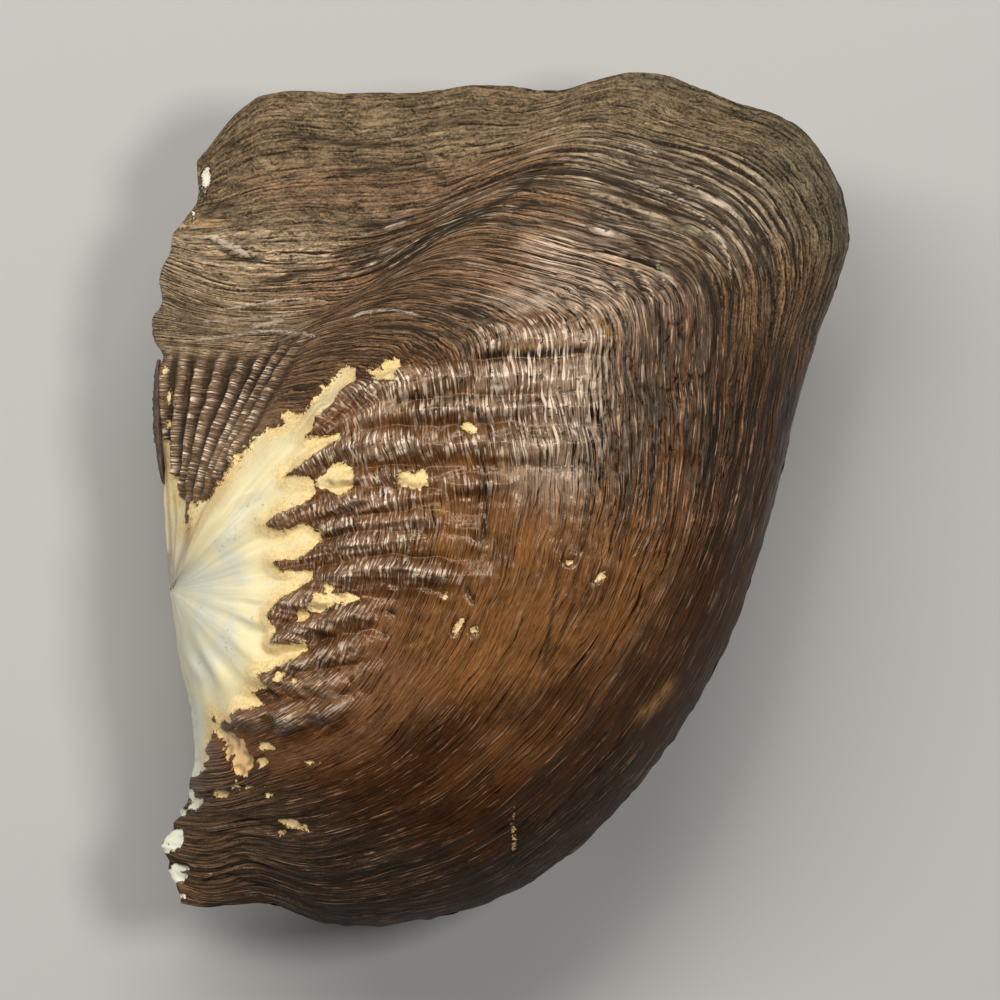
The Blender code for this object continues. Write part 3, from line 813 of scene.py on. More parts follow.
class Skin:
    """Everything that the outside of one valve is made and coloured from, row by row."""

    def __init__(self, sizes, colours, seed):
        self.rows = row_places()
        self.columns = np.linspace(0.0, 1.0, COLUMNS)
        self.flat = frayed(plan(self.rows, self.columns), self.rows, self.columns, seed + 80)
        self.places = sheet_places(self.flat)
        self.worn = worn_depth(self.places, seed + 20)
        self.pearl = smooth_step(-0.14, 0.14, self.worn)
        self.blend_zones(colours)
        self.crest, self.crest_groove, self.folded = crest_relief(self.flat, self.places)
        self.rib, self.rib_shade = rib_relief(self.rows, self.columns)
        self.coarse = growth_ledges(self.rows, self.columns, seed, *COARSE_LEDGES)
        self.fine = growth_ledges(self.rows, self.columns, seed + 7, *FINE_LEDGES)
        self.raise_relief(sizes, seed)
        self.paint_crest_light_and_shade(colours)
        self.mark_growth()
        self.lay_marks(sizes.mark_depth)
        self.bleach_chips()

    def blend_zones(self, colours):
        """Skin colour, gloss, dry felt and strength of the growth lines from the soft zones."""
        total = np.full(self.worn.shape, 1e-9)
        tint = np.zeros(self.worn.shape + (3,))
        finish = np.zeros((3,) + self.worn.shape)
        for *oval, colour, shine, dryness, striping in ZONES:
            weight = soft_oval(self.places, oval) + 1e-9
            total += weight
            tint += weight[..., None] * np.array(getattr(colours, colour))
            for field, share in zip(finish, (shine, dryness, striping)):
                field += weight * share
        self.tint = tint / total[..., None]
        self.gloss, self.felt, self.lines = finish / total

    def raise_relief(self, sizes, seed):
        """Height of the skin above the smooth shell, in metres."""
        stage = self.rows[:, None]
        skin = 1.0 - self.pearl
        x, y = self.places[..., 0], self.places[..., 1]
        relief = sizes.crest_height * self.crest * (1.0 - 0.55 * smooth_step(0.3, 2.4, self.worn))
        wrinkles = layered_noise(self.columns[None, :] * 90.0, stage * 9.0, seed + 60, 3)
        relief += WRINKLES * sizes.crest_height * wrinkles * self.folded * (1.0 - 0.9 * self.pearl)
        relief += sizes.rib_height * self.rib * skin
        side = span_step(0.0, 0.1, 0.9, 1.0, self.columns)
        for at in FOLDS:
            relief += FOLD_HEIGHT * bell(stage - at, FOLD_WIDTH) * side[None, :]
        growth = (0.04 + 0.96 * self.lines) * (self.coarse[0] + 0.45 * self.fine[0])
        growth *= sizes.ledge_height * (1.0 - 0.97 * self.pearl) * (1.0 - 0.8 * self.rib)
        relief += growth
        relief -= sizes.skin_thickness * self.pearl
        relief += 0.12 * sizes.skin_thickness * bell(self.worn + 0.3, 0.2)
        relief += self.soft_waves(sizes.pearl_waves, seed + 30) * self.pearl
        rough = layered_noise((0.8 * x + 0.6 * y) / 7.0, (0.8 * y - 0.6 * x) / 7.0, seed + 50, 3)
        relief += UNEVENNESS * rough * (0.4 + self.felt) * skin
        self.relief = relief

    def soft_waves(self, height, seed):
        """Soft waves that spread from the beak over the pearl."""
        turn, away = round_beak(self.flat)
        phase = turn / 19.0 + 0.45 * noise(turn / 26.0, away / 48.0, seed)
        waves = np.cos(2.0 * np.pi * phase) * (0.55 + 0.45 * noise(turn / 24.0, away / 24.0, seed + 1))
        waves += 0.35 * noise(turn / 6.0, away / 20.0, seed + 2)
        return height * waves * smooth_step(35.0, 95.0, away)

    def paint_crest_light_and_shade(self, colours):
        """Painted shade: deep brown between the bold ridges. Painted highlight: greyer on top of them,
        less so on the lower ones.
        """
        valley_shade = 0.95 * smooth_step(0.15, 0.5, self.folded) * (1.0 - smooth_step(0.1, 0.6, self.crest))
        lower = smooth_step(*TOPS_DULL, self.places[..., 1])
        top = smooth_step(0.3, 0.85, self.crest) * (0.85 - 0.4 * lower)
        for share, colour in ((valley_shade, colours.valley_shade), (top, colours.crest)):
            self.tint += share[..., None] * (np.array(colour) - self.tint)

    def mark_growth(self):
        """Painted shade under the growth edges and between ridges and ribs, painted highlights on the
        edges, ribs, ridge tops and upper disc, and bleached flakes.
        """
        x, y = self.places[..., 0], self.places[..., 1]
        stage = self.rows[:, None]
        # Painted shade: dark lines under the growth edges and between the bold ridges and ribs
        dark = (self.coarse[1] + 0.6 * self.fine[1]) * self.lines * (1.0 - 0.8 * self.rib)
        dark += 0.15 * self.crest_groove + 1.1 * self.rib_shade
        self.dark = dark * (1.0 - self.pearl)
        upper = 1.0 - 0.9 * smooth_step(*PALE_LEDGES_FADE, y)
        lower = 1.0 - 0.45 * smooth_step(*GLINTS_DULL, y)
        # Painted highlights: pale lines on growth edges, rib tops and ridge tops, and the glints of the
        # upper disc
        pale = 0.55 * (self.coarse[2] + 0.5 * self.fine[2]) * self.lines * upper * (1.0 - self.rib)
        pale += 1.3 * self.rib ** 2
        glinting = soft_oval(self.places, GLINTS)
        glints = 1.15 * self.crest ** 1.2 * lower + 0.9 * glinting * (1.0 - self.crest)
        self.pale = pale + glints * (1.0 - self.pearl)
        hinge = bell(self.columns, 0.004)[None, :] * smooth_step(0.5, 0.6, stage)
        right, below, above = FLAKED_EDGE
        rim = smooth_step(0.99, 0.996, stage) * smooth_step(*right, x)
        rim *= smooth_step(*below, y) * (1.0 - smooth_step(*above, y))
        self.flake = 0.5 * hinge + 0.5 * rim

    def streaks(self, marks):
        """How strongly each mark of a table covers every place."""
        for half_width, strength, line in marks:
            away, along = line_distance(self.places, line, 7)
            ends = span_step(0.0, 0.12, 0.88, 1.0, along)
            yield strength * (0.4 + 0.6 * ends) * bell(away, half_width)

    def lay_marks(self, depth):
        """Single cracks with dirt and painted shade, flakes and painted highlight lines, and golden
        streaks, in the relief too.
        """
        gold = np.zeros_like(self.dark)
        for streak in self.streaks(DARK_MARKS):
            self.dark += MARK_DARKNESS * streak
            self.relief -= depth * streak * (1.0 - 0.7 * self.pearl)
        for streak in self.streaks(PALE_MARKS):
            self.flake = np.maximum(self.flake, streak)
            self.relief += FLAKE_RISE * depth * streak * (1.0 - self.pearl)
        for streak in self.streaks(GOLD_MARKS):
            gold += streak
        self.marks = np.clip(np.stack((self.dark, self.pale, gold), axis=-1), 0.0, 1.0)
        self.flake = np.clip(self.flake, 0.0, 1.0) * (1.0 - self.pearl)

    def bleach_chips(self):
        """White chips at the hinge edge, above nought, and the orange flush, below nought."""
        x, y = self.places[..., 0], self.places[..., 1]
        left, below = TOOTH_CHIPS
        self.bleach = (1.0 - smooth_step(*left, x)) * smooth_step(*below, y)
        left, above = CORNER_CHIPS
        self.bleach += (1.0 - smooth_step(*left, x)) * (1.0 - smooth_step(*above, y))
        self.bleach -= soft_oval(self.places, BLUSH)

    def surface(self, sizes):
        """Outside of the upper valve above the plane between the valves, in metres."""
        points = np.empty(self.flat.shape[:2] + (3,))
        points[:, :, :2] = (self.flat - CENTRE) * UNIT
        base = sizes.half_gap + sizes.lip + plate(self.flat, self.rows, sizes.lip)
        bulge = rounded_beak(swell(self.rows, self.columns), self.flat, self.rows, self.columns)
        points[:, :, 2] = base + bulge
        hold = span_step(0.0, 0.02, 0.98, 1.0, self.columns)
        hold = hold[None, :] * (1.0 - smooth_step(0.985, 1.0, self.rows))[:, None]
        hold = 0.25 + 0.75 * hold
        hold[:, [0, -1]] = 0.0
        points += outward(points) * (self.relief * hold)[:, :, None]
        points[:, :, 2] = np.maximum(points[:, :, 2], sizes.half_gap + 0.3 * sizes.lip)
        return points


def hollow_surface(sizes):
    """Roof of the hollow of the upper valve, in metres."""
    rows = np.linspace(0.0, 1.0, HOLLOW_ROWS) ** 1.3
    columns = np.linspace(0.0, 1.0, HOLLOW_COLUMNS)
    flat = plan(rows, columns)
    points = np.empty(flat.shape[:2] + (3,))
    middle = np.array(HOLLOW_POINT)
    points[:, :, :2] = (middle + (flat - middle) * HOLLOW_PLAN - CENTRE) * UNIT
    wall = HOLLOW_DROP + BEAK_WALL * (1.0 - rows)[:, None] ** 3
    points[:, :, 2] = sizes.half_gap + np.maximum(swell(rows, columns) * HOLLOW_HEIGHT - wall, 0.0)
    return points


def seam_height():
    """Height of the plane between the valves above the surface that the shell lies on."""
    low, _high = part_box("left_valve")
    return low[2] - CAD_HALF_GAP


def rim_loop(count_rows, count_columns, first):
    """Numbers of the vertices round a sheet whose beak is vertex first."""
    def at(row, column):
        return first + 1 + row * count_columns + column
    left = [at(row, 0) for row in range(count_rows)]
    edge = [at(count_rows - 1, column) for column in range(1, count_columns - 1)]
    right = [at(row, count_columns - 1) for row in reversed(range(count_rows))]
    return [first] + left + edge + right


def sheet_faces(count_rows, count_columns, first):
    """Faces of a sheet: a fan at the beak, then a grid."""
    ring = first + 1 + np.arange(count_columns)
    fan = [(first, int(b), int(a)) for a, b in zip(ring[:-1], ring[1:])]
    row, column = np.meshgrid(np.arange(count_rows - 1), np.arange(count_columns - 1), indexing="ij")
    corner = first + 1 + row * count_columns + column
    grid = np.stack((corner, corner + 1, corner + count_columns + 1, corner + count_columns), axis=-1)
    return fan + grid.reshape(-1, 4).tolist()


def ring_faces(first_ring, second_ring):
    """Faces of the strip between two rings of vertices."""
    count = len(first_ring)
    return [(first_ring[i], first_ring[(i + 1) % count], second_ring[(i + 1) % count], second_ring[i])
            for i in range(count)]


def flat_fill(points, outer_ring, inner_ring):
    """Triangles of the flat ring between two loops of vertices."""
    mesh = bmesh.new()
    made = {}
    edges = []
    for ring in (outer_ring, inner_ring):
        for number in ring:
            made[number] = mesh.verts.new(points[number])
        for start, end in zip(ring, ring[1:] + ring[:1]):
            edges.append(mesh.edges.new((made[start], made[end])))
    back = {vertex: number for number, vertex in made.items()}
    bmesh.ops.triangle_fill(mesh, edges=edges, use_beauty=True)
    faces = [tuple(back[vertex] for vertex in face.verts) for face in mesh.faces]
    mesh.free()
    return faces


def link_new(name, data):
    """Puts a new object with this data in the scene."""
    made = bpy.data.objects.new(name, data)
    bpy.context.scene.collection.objects.link(made)
    return made


def link_mesh(name, points, faces, material):
    """Makes a smooth mesh object that rides on the shell and takes a slot's finish."""
    data = bpy.data.meshes.new(name)
    data.from_pydata(points.tolist(), [], faces)
    data.materials.append(material)
    mesh = bmesh.new()
    mesh.from_mesh(data)
    bmesh.ops.recalc_face_normals(mesh, faces=mesh.faces)
    mesh.to_mesh(data)
    mesh.free()
    data.shade_smooth()
    piece = link_new(name, data)
    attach(piece, "root")
    return piece


def store_values(data, name, values):
    """Keeps one number for each vertex, for the material."""
    layer = data.attributes.new(name, "FLOAT", "POINT")
    layer.data.foreach_set("value", np.ascontiguousarray(values, np.float32))


def store_colours(data, name, values):
    """Keeps one colour for each vertex, for the material."""
    layer = data.attributes.new(name, "FLOAT_COLOR", "POINT")
    padded = np.ones((len(values), 4), np.float32)
    padded[:, :3] = values
    layer.data.foreach_set("color", padded.ravel())


def store_growth(data, places):
    """UV map whose units are millimetres along and across the growth lines."""
    corners = np.empty(len(data.loops), np.int32)
    data.loops.foreach_get("vertex_index", corners)
    layer = data.uv_layers.new(name="growth")
    layer.data.foreach_set("uv", np.ascontiguousarray(places[corners], np.float32).ravel())


def valve_shell(outer, inner, half_gap):
    """Vertices and faces of a whole valve above its seam, and the vertices of its outer rim."""
    count_rows, count_columns = outer.shape[:2]
    beak = outer[0].mean(axis=0)
    beak[:2] = -np.array(CENTRE) * UNIT
    shell = np.concatenate((beak[None], outer.reshape(-1, 3), inner[0, :1], inner[1:].reshape(-1, 3)))
    hollow_first = 1 + count_rows * count_columns
    first_middle = len(shell)
    rim = rim_loop(count_rows, count_columns, 0)
    first_foot = first_middle + len(rim)
    middle_ring = shell[rim].copy()
    middle_ring[:, 2] = half_gap + 0.45 * (middle_ring[:, 2] - half_gap)
    foot_ring = shell[rim].copy()
    foot_ring[:, 2] = half_gap
    shell = np.concatenate((shell, middle_ring, foot_ring))
    middle = list(range(first_middle, first_foot))
    foot = list(range(first_foot, len(shell)))
    faces = sheet_faces(count_rows, count_columns, 0)
    faces += sheet_faces(HOLLOW_ROWS - 1, HOLLOW_COLUMNS, hollow_first)
    faces += ring_faces(rim, middle) + ring_faces(middle, foot)
    faces += flat_fill(shell, foot, rim_loop(HOLLOW_ROWS - 1, HOLLOW_COLUMNS, hollow_first))
    return shell, faces, rim


def store_skin(data, skin, shell, rim):
    """Keeps the skin's values on a valve's mesh. The two rings of its rim take the edge's values."""
    outer_count = 1 + skin.worn.size
    first_middle = len(shell) - 2 * len(rim)
    first_foot = len(shell) - len(rim)

    def spread(values, beak_value, inside_value):
        values = values.reshape(outer_count - 1, -1)
        width = values.shape[1]
        whole = np.concatenate((
            np.full((1, width), beak_value),
            values,
            np.full((first_middle - outer_count, width), inside_value),
        ))
        return np.concatenate((whole, whole[rim], whole[rim]))

    for name, beak_value, inside_value in KEPT_VALUES:
        store_values(data, name, spread(getattr(skin, name), beak_value, inside_value)[:, 0])
    store_colours(data, "tint", spread(skin.tint, 0.5, 0.5))
    store_colours(data, "marks", spread(skin.marks, 0.0, 0.0))
    along, growth = np.meshgrid(skin.columns * EDGE_LENGTH, skin.rows * GROWTH_LENGTH)
    places = spread(np.stack((along, growth), axis=-1), 0.0, 0.0)
    places[0] = 0.5 * EDGE_LENGTH, 0.0
    places[outer_count:first_middle] = shell[outer_count:first_middle, :2] / MM
    places[first_middle:first_foot, 1] += RIM_STEP
    places[first_foot:, 1] += 2.0 * RIM_STEP
    store_growth(data, places)


def add_valve(name, side, node, sizes, colours, seed):
    """One whole valve: side is one for the upper and minus one for the lower."""
    skin = Skin(sizes, colours, seed)
    outer = skin.surface(sizes)
    height = seam_height()
    if side < 0:
        outer[:, :, 2] = np.minimum(outer[:, :, 2], height)
    shell, faces, rim = valve_shell(outer, hollow_surface(sizes), sizes.half_gap)
    shell[:, 2] = height + side * shell[:, 2]
    material = ValveFinish(name + "_surface", colours, seed).material
    piece = link_mesh(name, shell, faces, material)
    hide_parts(node)
    store_skin(piece.data, skin, shell, rim)
    return piece


def add_band(sizes, colours):
    """Dark fibrous band along the hinge behind the beak."""
    stages = np.linspace(BAND_SPAN[0], BAND_SPAN[1], BAND_SECTIONS)
    edge = (plan(stages, np.array([0.0]))[:, 0] - CENTRE) * UNIT
    height = seam_height()
    along = np.linspace(0.0, 1.0, BAND_SECTIONS)[:, None]
    turn = (2.0 * np.pi * np.arange(BAND_SIDES) / BAND_SIDES)[None, :]
    size = BAND_END_SIZE + (1.0 - BAND_END_SIZE) * np.maximum(np.sin(np.pi * along), 0.0) ** 0.6
    lumps = 1.0 + 0.16 * layered_noise(along * 38.0, np.sin(turn) * 1.5, 71) * size
    wide = sizes.band_half_width * size * lumps
    waves = 1.0 + 0.05 * noise(along * 20.0, np.cos(turn), 75)
    tall = sizes.band_half_height * size * waves
    points = np.empty((BAND_SECTIONS, BAND_SIDES, 3))
    points[:, :, 0] = edge[:, :1] + BAND_SINK - wide * (1.0 - np.cos(turn))
    points[:, :, 1] = edge[:, 1:]
    points[:, :, 2] = height + tall * np.sin(turn)
    faces = []
    for ring in range(BAND_SECTIONS - 1):
        near = [ring * BAND_SIDES + k for k in range(BAND_SIDES)]
        far = [number + BAND_SIDES for number in near]
        faces += ring_faces(near, far)
    last_ring = (BAND_SECTIONS - 1) * BAND_SIDES
    faces.append(tuple(range(BAND_SIDES)))
    faces.append(tuple(reversed(range(last_ring, last_ring + BAND_SIDES))))
    material = band_material(colours)
    piece = link_mesh("hinge_band", points.reshape(-1, 3), faces, material)
    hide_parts("ligament")
    return piece


class Finish:
    """Small helper that adds the nodes of one material."""

    def __init__(self, name):
        self.material = bpy.data.materials.new(name)
        self.material.use_nodes = True
        self.tree = self.material.node_tree
        self.shader = self.tree.nodes["Principled BSDF"]

    def node(self, kind, sockets, output=0, **settings):
        """Adds a node, fills its sockets by number or name, and returns one output."""
        made = self.tree.nodes.new("ShaderNode" + kind)
        for option, value in settings.items():
            setattr(made, option, value)
        for key, value in sockets.items():
            self.fill(made.inputs[key], value)
        return made.outputs[output]

    def fill(self, socket, value):
        """Links a socket to another, or sets its value."""
        if isinstance(value, bpy.types.NodeSocket):
            self.tree.links.new(value, socket)
        else:
            socket.default_value = value

    def value(self, name):
        """A number that the mesh keeps for each vertex."""
        return self.node("Attribute", {}, "Fac", attribute_name=name)

    def colour(self, name):
        """A colour that the mesh keeps for each vertex."""
        return self.node("Attribute", {}, "Color", attribute_name=name)

    def combine(self, how, values):
        """Adds up or multiplies any number of values."""
        result = values[0]
        for value in values[1:]:
            result = self.node("Math", {0: result, 1: value}, operation=how)
        return result

    def plus(self, *values):
        """Sum of the values."""
        return self.combine("ADD", values)

    def times(self, *values):
        """Product of the values."""
        return self.combine("MULTIPLY", values)

    def fade(self, value, low, high, start=0.0, end=1.0):
        """Runs smoothly from start to end while the value goes from low to high."""
        sockets = {"Value": value, "From Min": low, "From Max": high, "To Min": start, "To Max": end}
        return self.node("MapRange", sockets, interpolation_type="SMOOTHSTEP")

    def between(self, factor, first, second):
        """Mixes two numbers."""
        return self.node("Mix", {0: factor, 2: first, 3: second}, data_type="FLOAT")

    def blend(self, factor, first, second, how="MIX"):
        """Mixes two colours."""
        sockets = {0: factor, 6: first, 7: second}
        return self.node("Mix", sockets, 2, data_type="RGBA", blend_type=how)

    def paint(self, under, share, colour, factor=1.0):
        """Covers a share of the colour below with one plain colour."""
        return self.blend(share, under, shade(colour, factor))

    def moved(self, vector, shift):
        """Coordinates with another vector added."""
        return self.node("VectorMath", {0: vector, 1: shift}, operation="ADD")

    def millimetres(self):
        """Place on the object in millimetres."""
        place = self.node("TexCoord", {}, "Object")
        return self.node("VectorMath", {0: place, 1: (1.0 / MM,) * 3}, operation="MULTIPLY")

    def stretched(self, vector, scale):
        """Coordinates stretched along each axis."""
        return self.node("Mapping", {"Vector": vector, "Scale": scale})

    def speckle(self, vector, scale, detail=4.0, roughness=0.6, distortion=0.0):
        """Fractal noise."""
        sockets = {"Vector": vector, "Scale": scale, "Detail": detail,
                   "Roughness": roughness, "Distortion": distortion}
        return self.node("TexNoise", sockets, "Fac")

    def bump(self, height):
        """Bump from a height in millimetres."""
        return self.node("Bump", {"Height": height, "Distance": MM, "Strength": 1.0})


def shade(colour, factor=1.0):
    """Four-part colour made lighter or darker."""
    return tuple(min(part * factor, 1.0) for part in colour) + (1.0,)


class ValveFinish(Finish):
    """Horny skin, glossy on the disc and dry on the wing, over worn shell and pearl."""

    def __init__(self, name, colours, seed):
        super().__init__(name)
        self.colours = colours
        self.spot = self.millimetres()
        shifted = self.moved(self.node("UVMap", {}, uv_map="growth"), (13.0 * seed, 7.0 * seed, 0.0))
        self.growth = self.swayed(shifted, "meander", 0.2)
        self.gloss = self.value("gloss")
        self.felt = self.value("felt")
        self.lined = self.value("lines")
        # Marks: cracks, dirt and painted shade; painted highlights; golden streaks
        marks = self.node("SeparateColor", {0: self.colour("marks")})
        self.dark, self.pale, self.gold = marks.node.outputs[:3]
        self.fibre = self.grain("fibre")
        self.hair = self.grain("hair")
        self.fuzz = self.grain("fuzz", self.swayed(self.growth, "sway", 0.3))
        self.grit = self.specks("grit")
        self.mottle = self.specks("mottle")
        self.wander = self.grain("rings")
        self.broad_ring = self.rings(1.2, 3.6)
        self.fine_ring = self.rings(2.5, 7.5)
        self.flow = self.times(self.fade(self.grain("flow"), 0.4, 0.56, 0.1, 1.0),
                               self.fade(self.grain("snaps"), 0.42, 0.52, 0.15, 1.0))
        ragged = self.times(self.plus(self.specks("ragged"), -0.5), 1.3)
        self.worn = self.plus(self.value("worn"), ragged)
        self.bare = self.fade(self.worn, -0.02, 0.02)
        inputs = self.shader.inputs
        self.fill(inputs["Base Color"], self.blend(self.bare, self.skin_colour(), self.shell_colour()))
        self.fill(inputs["Roughness"], self.roughness())
        self.fill(inputs["Normal"], self.bump(self.height()))
        inputs["IOR"].default_value = SKIN_IOR
        inputs["Specular Tint"].default_value = WARM_GLOSS

    def grain(self, name, vector=None):
        """A noise that runs along the growth lines."""
        along, across, *rest = GRAINS[name]
        vector = self.growth if vector is None else vector
        return self.speckle(self.stretched(vector, (along, across, 1.0)), 1.0, *rest)

    def specks(self, name):
        """A noise that runs every way."""
        return self.speckle(self.spot, *SPECKS[name])

    def swayed(self, vector, name, reach):
        """Growth map that strays across the growth lines by up to reach, with a noise."""
        sway = self.fade(self.grain(name, vector), 0.25, 0.75, -reach, reach)
        return self.moved(vector, self.node("CombineXYZ", {1: sway}))

    def rings(self, count, stray):
        """Place from one growth ring to the next, from nought to one. All rings wander together."""
        across = self.node("SeparateXYZ", {0: self.growth}, 1)
        place = self.plus(self.times(across, count), self.times(self.wander, stray))
        return self.node("Math", {0: place}, operation="FRACT")

    def growth_lines(self):
        """Light and dark along the growth lines, from broad rings to single fibres."""
        broad = self.plus(self.fade(self.broad_ring, 0.0, 0.3, -2.0, 0.0),
                          self.fade(self.broad_ring, 0.72, 0.92, -0.1, 0.7))
        faint = self.plus(self.fade(self.fine_ring, 0.0, 0.35, -1.1, 0.0),
                          self.fade(self.fine_ring, 0.55, 0.95, 0.0, 0.6))
        breaks = self.fade(self.grain("breaks"), 0.4, 0.58)
        fibre = self.fade(self.fibre, 0.38, 0.62, -0.52, 0.42)
        lines = self.plus(self.times(broad, self.flow), self.times(faint, breaks), fibre)
        return self.times(lines, self.fade(self.lined, 0.1, 0.85, 0.15, 1.0))

    def plain_skin(self):
        """The skin's tint with its growth lines, banding and felt."""
        streak = self.plus(self.fade(self.hair, 0.36, 0.64, -0.09, 0.09),
                           self.fade(self.grain("thread"), 0.34, 0.66, -0.14, 0.18),
                           self.fade(self.mottle, 0.35, 0.65, -0.1, 0.1))
        lines = self.plus(self.growth_lines(), streak)
        tone = self.node("Math", {0: lines, 1: 0.4}, operation="ADD", use_clamp=True)
        tint = self.colour("tint")
        deep = self.blend(1.0, tint, DEEP_SHADE, "MULTIPLY")
        light = self.blend(1.0, tint, LIGHT_SHADE, "MULTIPLY")
        skin = self.blend(tone, deep, light)
        banding = self.times(self.fade(self.grain("band"), 0.42, 0.64),
                             self.fade(self.lined, 0.1, 0.8, 0.12, 0.35))
        skin = self.paint(skin, banding, self.colours.shade, 0.6)
        fluff = self.plus(self.fade(self.fuzz, 0.3, 0.7, -0.8, 0.8),
                          self.fade(self.grit, 0.3, 0.7, -0.35, 0.35))
        return self.blend(1.0, skin, self.plus(self.times(fluff, self.felt), 1.0), "MULTIPLY")

    def skin_colour(self):
        """Colour of the skin: dust, dirt, flakes, painted shade and glints, and a painted shadow round
        worn patches.
        """
        colours = self.colours
        patchy = self.fade(self.grain("patchy"), 0.42, 0.56, 0.2, 1.0)
        dryness = self.times(self.felt, self.fade(self.gloss, 0.1, 0.6, 0.5, 0.05))
        wires = self.times(self.fade(self.grain("wire"), 0.61, 0.66), patchy,
                           self.fade(self.lined, 0.05, 0.9, 0.35, 0.85),
                           self.fade(self.felt, 0.3, 0.8, 1.0, 0.0))
        highlight_ticks = self.times(self.fade(self.grain("tick"), 0.51, 0.58), patchy)
        holes = self.fade(self.grain("holes"), 0.62, 0.68)
        solid = self.plus(self.value("flake"), self.fade(self.hair, 0.35, 0.65, -0.35, 0.15),
                          self.fade(self.grit, 0.35, 0.65, -0.2, 0.15))
        skin = self.plain_skin()
        for share, colour, factor in (
            (self.times(self.fade(self.grit, 0.5, 0.7), dryness), colours.dust, 1.0),
            (self.times(self.gold, self.fade(self.hair, 0.35, 0.6)), colours.gold, 1.0),
            # Cracks, dirt and painted shade under growth edges and between ridges and ribs
            (self.times(self.dark, 0.92), colours.groove, 1.0),
            (wires, colours.crest, 2.5),
            # Painted highlights: pale ticks where ridge tops, ribs and the upper disc glint
            (self.times(self.pale, highlight_ticks), colours.flake, 1.4),
            # Dark pits among the painted highlights
            (self.times(self.pale, holes), colours.groove, 1.5),
            (self.fade(solid, 0.35, 0.95, 0.0, 0.85), colours.flake, 1.0),
            # Painted shadow: dark line along the skin's edge round worn patches
            (self.fade(self.worn, -0.14, -0.03, 0.0, 0.8), colours.groove, 1.6),
        ):
            skin = self.paint(skin, share, colour, factor)
        return skin

    def shell_colour(self):
        """Colour of bare shell: pearl inside a worn patch, with chalk and stain round its rim."""
        colours, worn, grit, mottle = self.colours, self.worn, self.grit, self.mottle
        inner = self.plus(self.fade(worn, 1.6, 5.5, 0.0, 0.9),
                          self.fade(mottle, 0.4, 0.62, -0.35, 0.35))
        pearl = self.blend(inner, shade(colours.cream), shade(colours.silver))
        pearl = self.blend(1.0, pearl, self.fade(self.grain("rays"), 0.3, 0.7, 0.9, 1.05), "MULTIPLY")
        chalk = self.blend(self.fade(grit, 0.4, 0.65), shade(colours.chalk), shade(colours.chalk, 0.75))
        chalk = self.paint(chalk, self.fade(mottle, 0.5, 0.68, 0.0, 0.6), colours.cream)
        shell = self.blend(self.fade(worn, 0.3, 2.4, 1.0, 0.0), pearl, chalk)
        tinge = self.times(self.fade(worn, 0.0, 0.5, 0.4, 0.0), self.fade(grit, 0.46, 0.6))
        bleach = self.value("bleach")
        white = self.times(bleach, self.fade(grit, 0.35, 0.55, 0.6, 0.95))
        blush = self.times(self.fade(bleach, -0.1, -0.6), self.fade(grit, 0.3, 0.6, 0.3, 0.75))
        pits = self.times(self.fade(self.specks("pits"), 0.62, 0.68), self.fade(mottle, 0.56, 0.62))
        for share, colour, factor in (
            (tinge, colours.stain, 1.0),
            (white, colours.white, 1.0),
            (blush, colours.blush, 1.0),
            (self.fade(worn, 0.0, 0.12, 0.85, 0.0), colours.stain, 0.5),
            (self.times(pits, 0.4), colours.stain, 0.6),
            (self.times(self.dark, 0.6), colours.stain, 0.35),
        ):
            shell = self.paint(shell, share, colour, factor)
        return shell

    def roughness(self):
        """Glossy disc, dry wing, and pearl that is smoothest in its middle."""
        skin = self.plus(self.fade(self.gloss, 0.0, 1.0, 0.68, 0.16),
                         self.fade(self.hair, 0.3, 0.7, -0.08, 0.08))
        return self.between(self.bare, skin, self.fade(self.worn, 0.1, 2.2, 0.55, 0.26))

    def height(self):
        """Fine relief of skin and bare shell, in millimetres."""
        skin = self.plus(
            self.times(self.fibre, self.fade(self.lined, 0.0, 1.0, 0.0, 0.2)),
            self.times(self.hair, self.fade(self.gloss, 0.2, 0.8, 0.08, 0.018)),
            self.times(self.fuzz, self.fade(self.felt, 0.1, 1.0, 0.0, 0.12)),
            self.times(self.grit, self.fade(self.felt, 0.1, 1.0, 0.01, 0.14)),
            self.times(self.broad_ring, self.flow, self.fade(self.lined, 0.0, 1.0, 0.0, 0.25)),
            self.times(self.fade(self.fine_ring, 0.0, 0.6, 0.0, 1.0), 0.03),
        )
        shell = self.times(self.specks("dimples"), self.fade(self.worn, 0.0, 2.0, 0.05, 0.006))
        return self.between(self.bare, skin, shell)


def band_material(colours):
    """Dark fibrous band with fine cracks across it."""
    f = Finish("hinge_band_surface")
    spot = f.millimetres()
    fibre = f.speckle(f.stretched(spot, (4.0, 0.7, 4.0)), 1.0, 5.0, 0.65)
    crack = f.speckle(f.stretched(spot, (0.8, 4.5, 0.8)), 1.0, 3.0, 0.6)
    colour = f.blend(f.fade(fibre, 0.35, 0.68), shade(colours.band, 0.45), shade(colours.band, 1.7))
    colour = f.paint(colour, f.fade(crack, 0.62, 0.7, 0.0, 0.8), colours.groove, 0.6)
    f.fill(f.shader.inputs["Base Color"], colour)
    f.fill(f.shader.inputs["Roughness"], f.fade(fibre, 0.3, 0.7, 0.55, 0.85))
    f.fill(f.shader.inputs["Normal"], f.bump(f.plus(f.times(fibre, 0.2), f.times(crack, -0.12))))
    return f.material


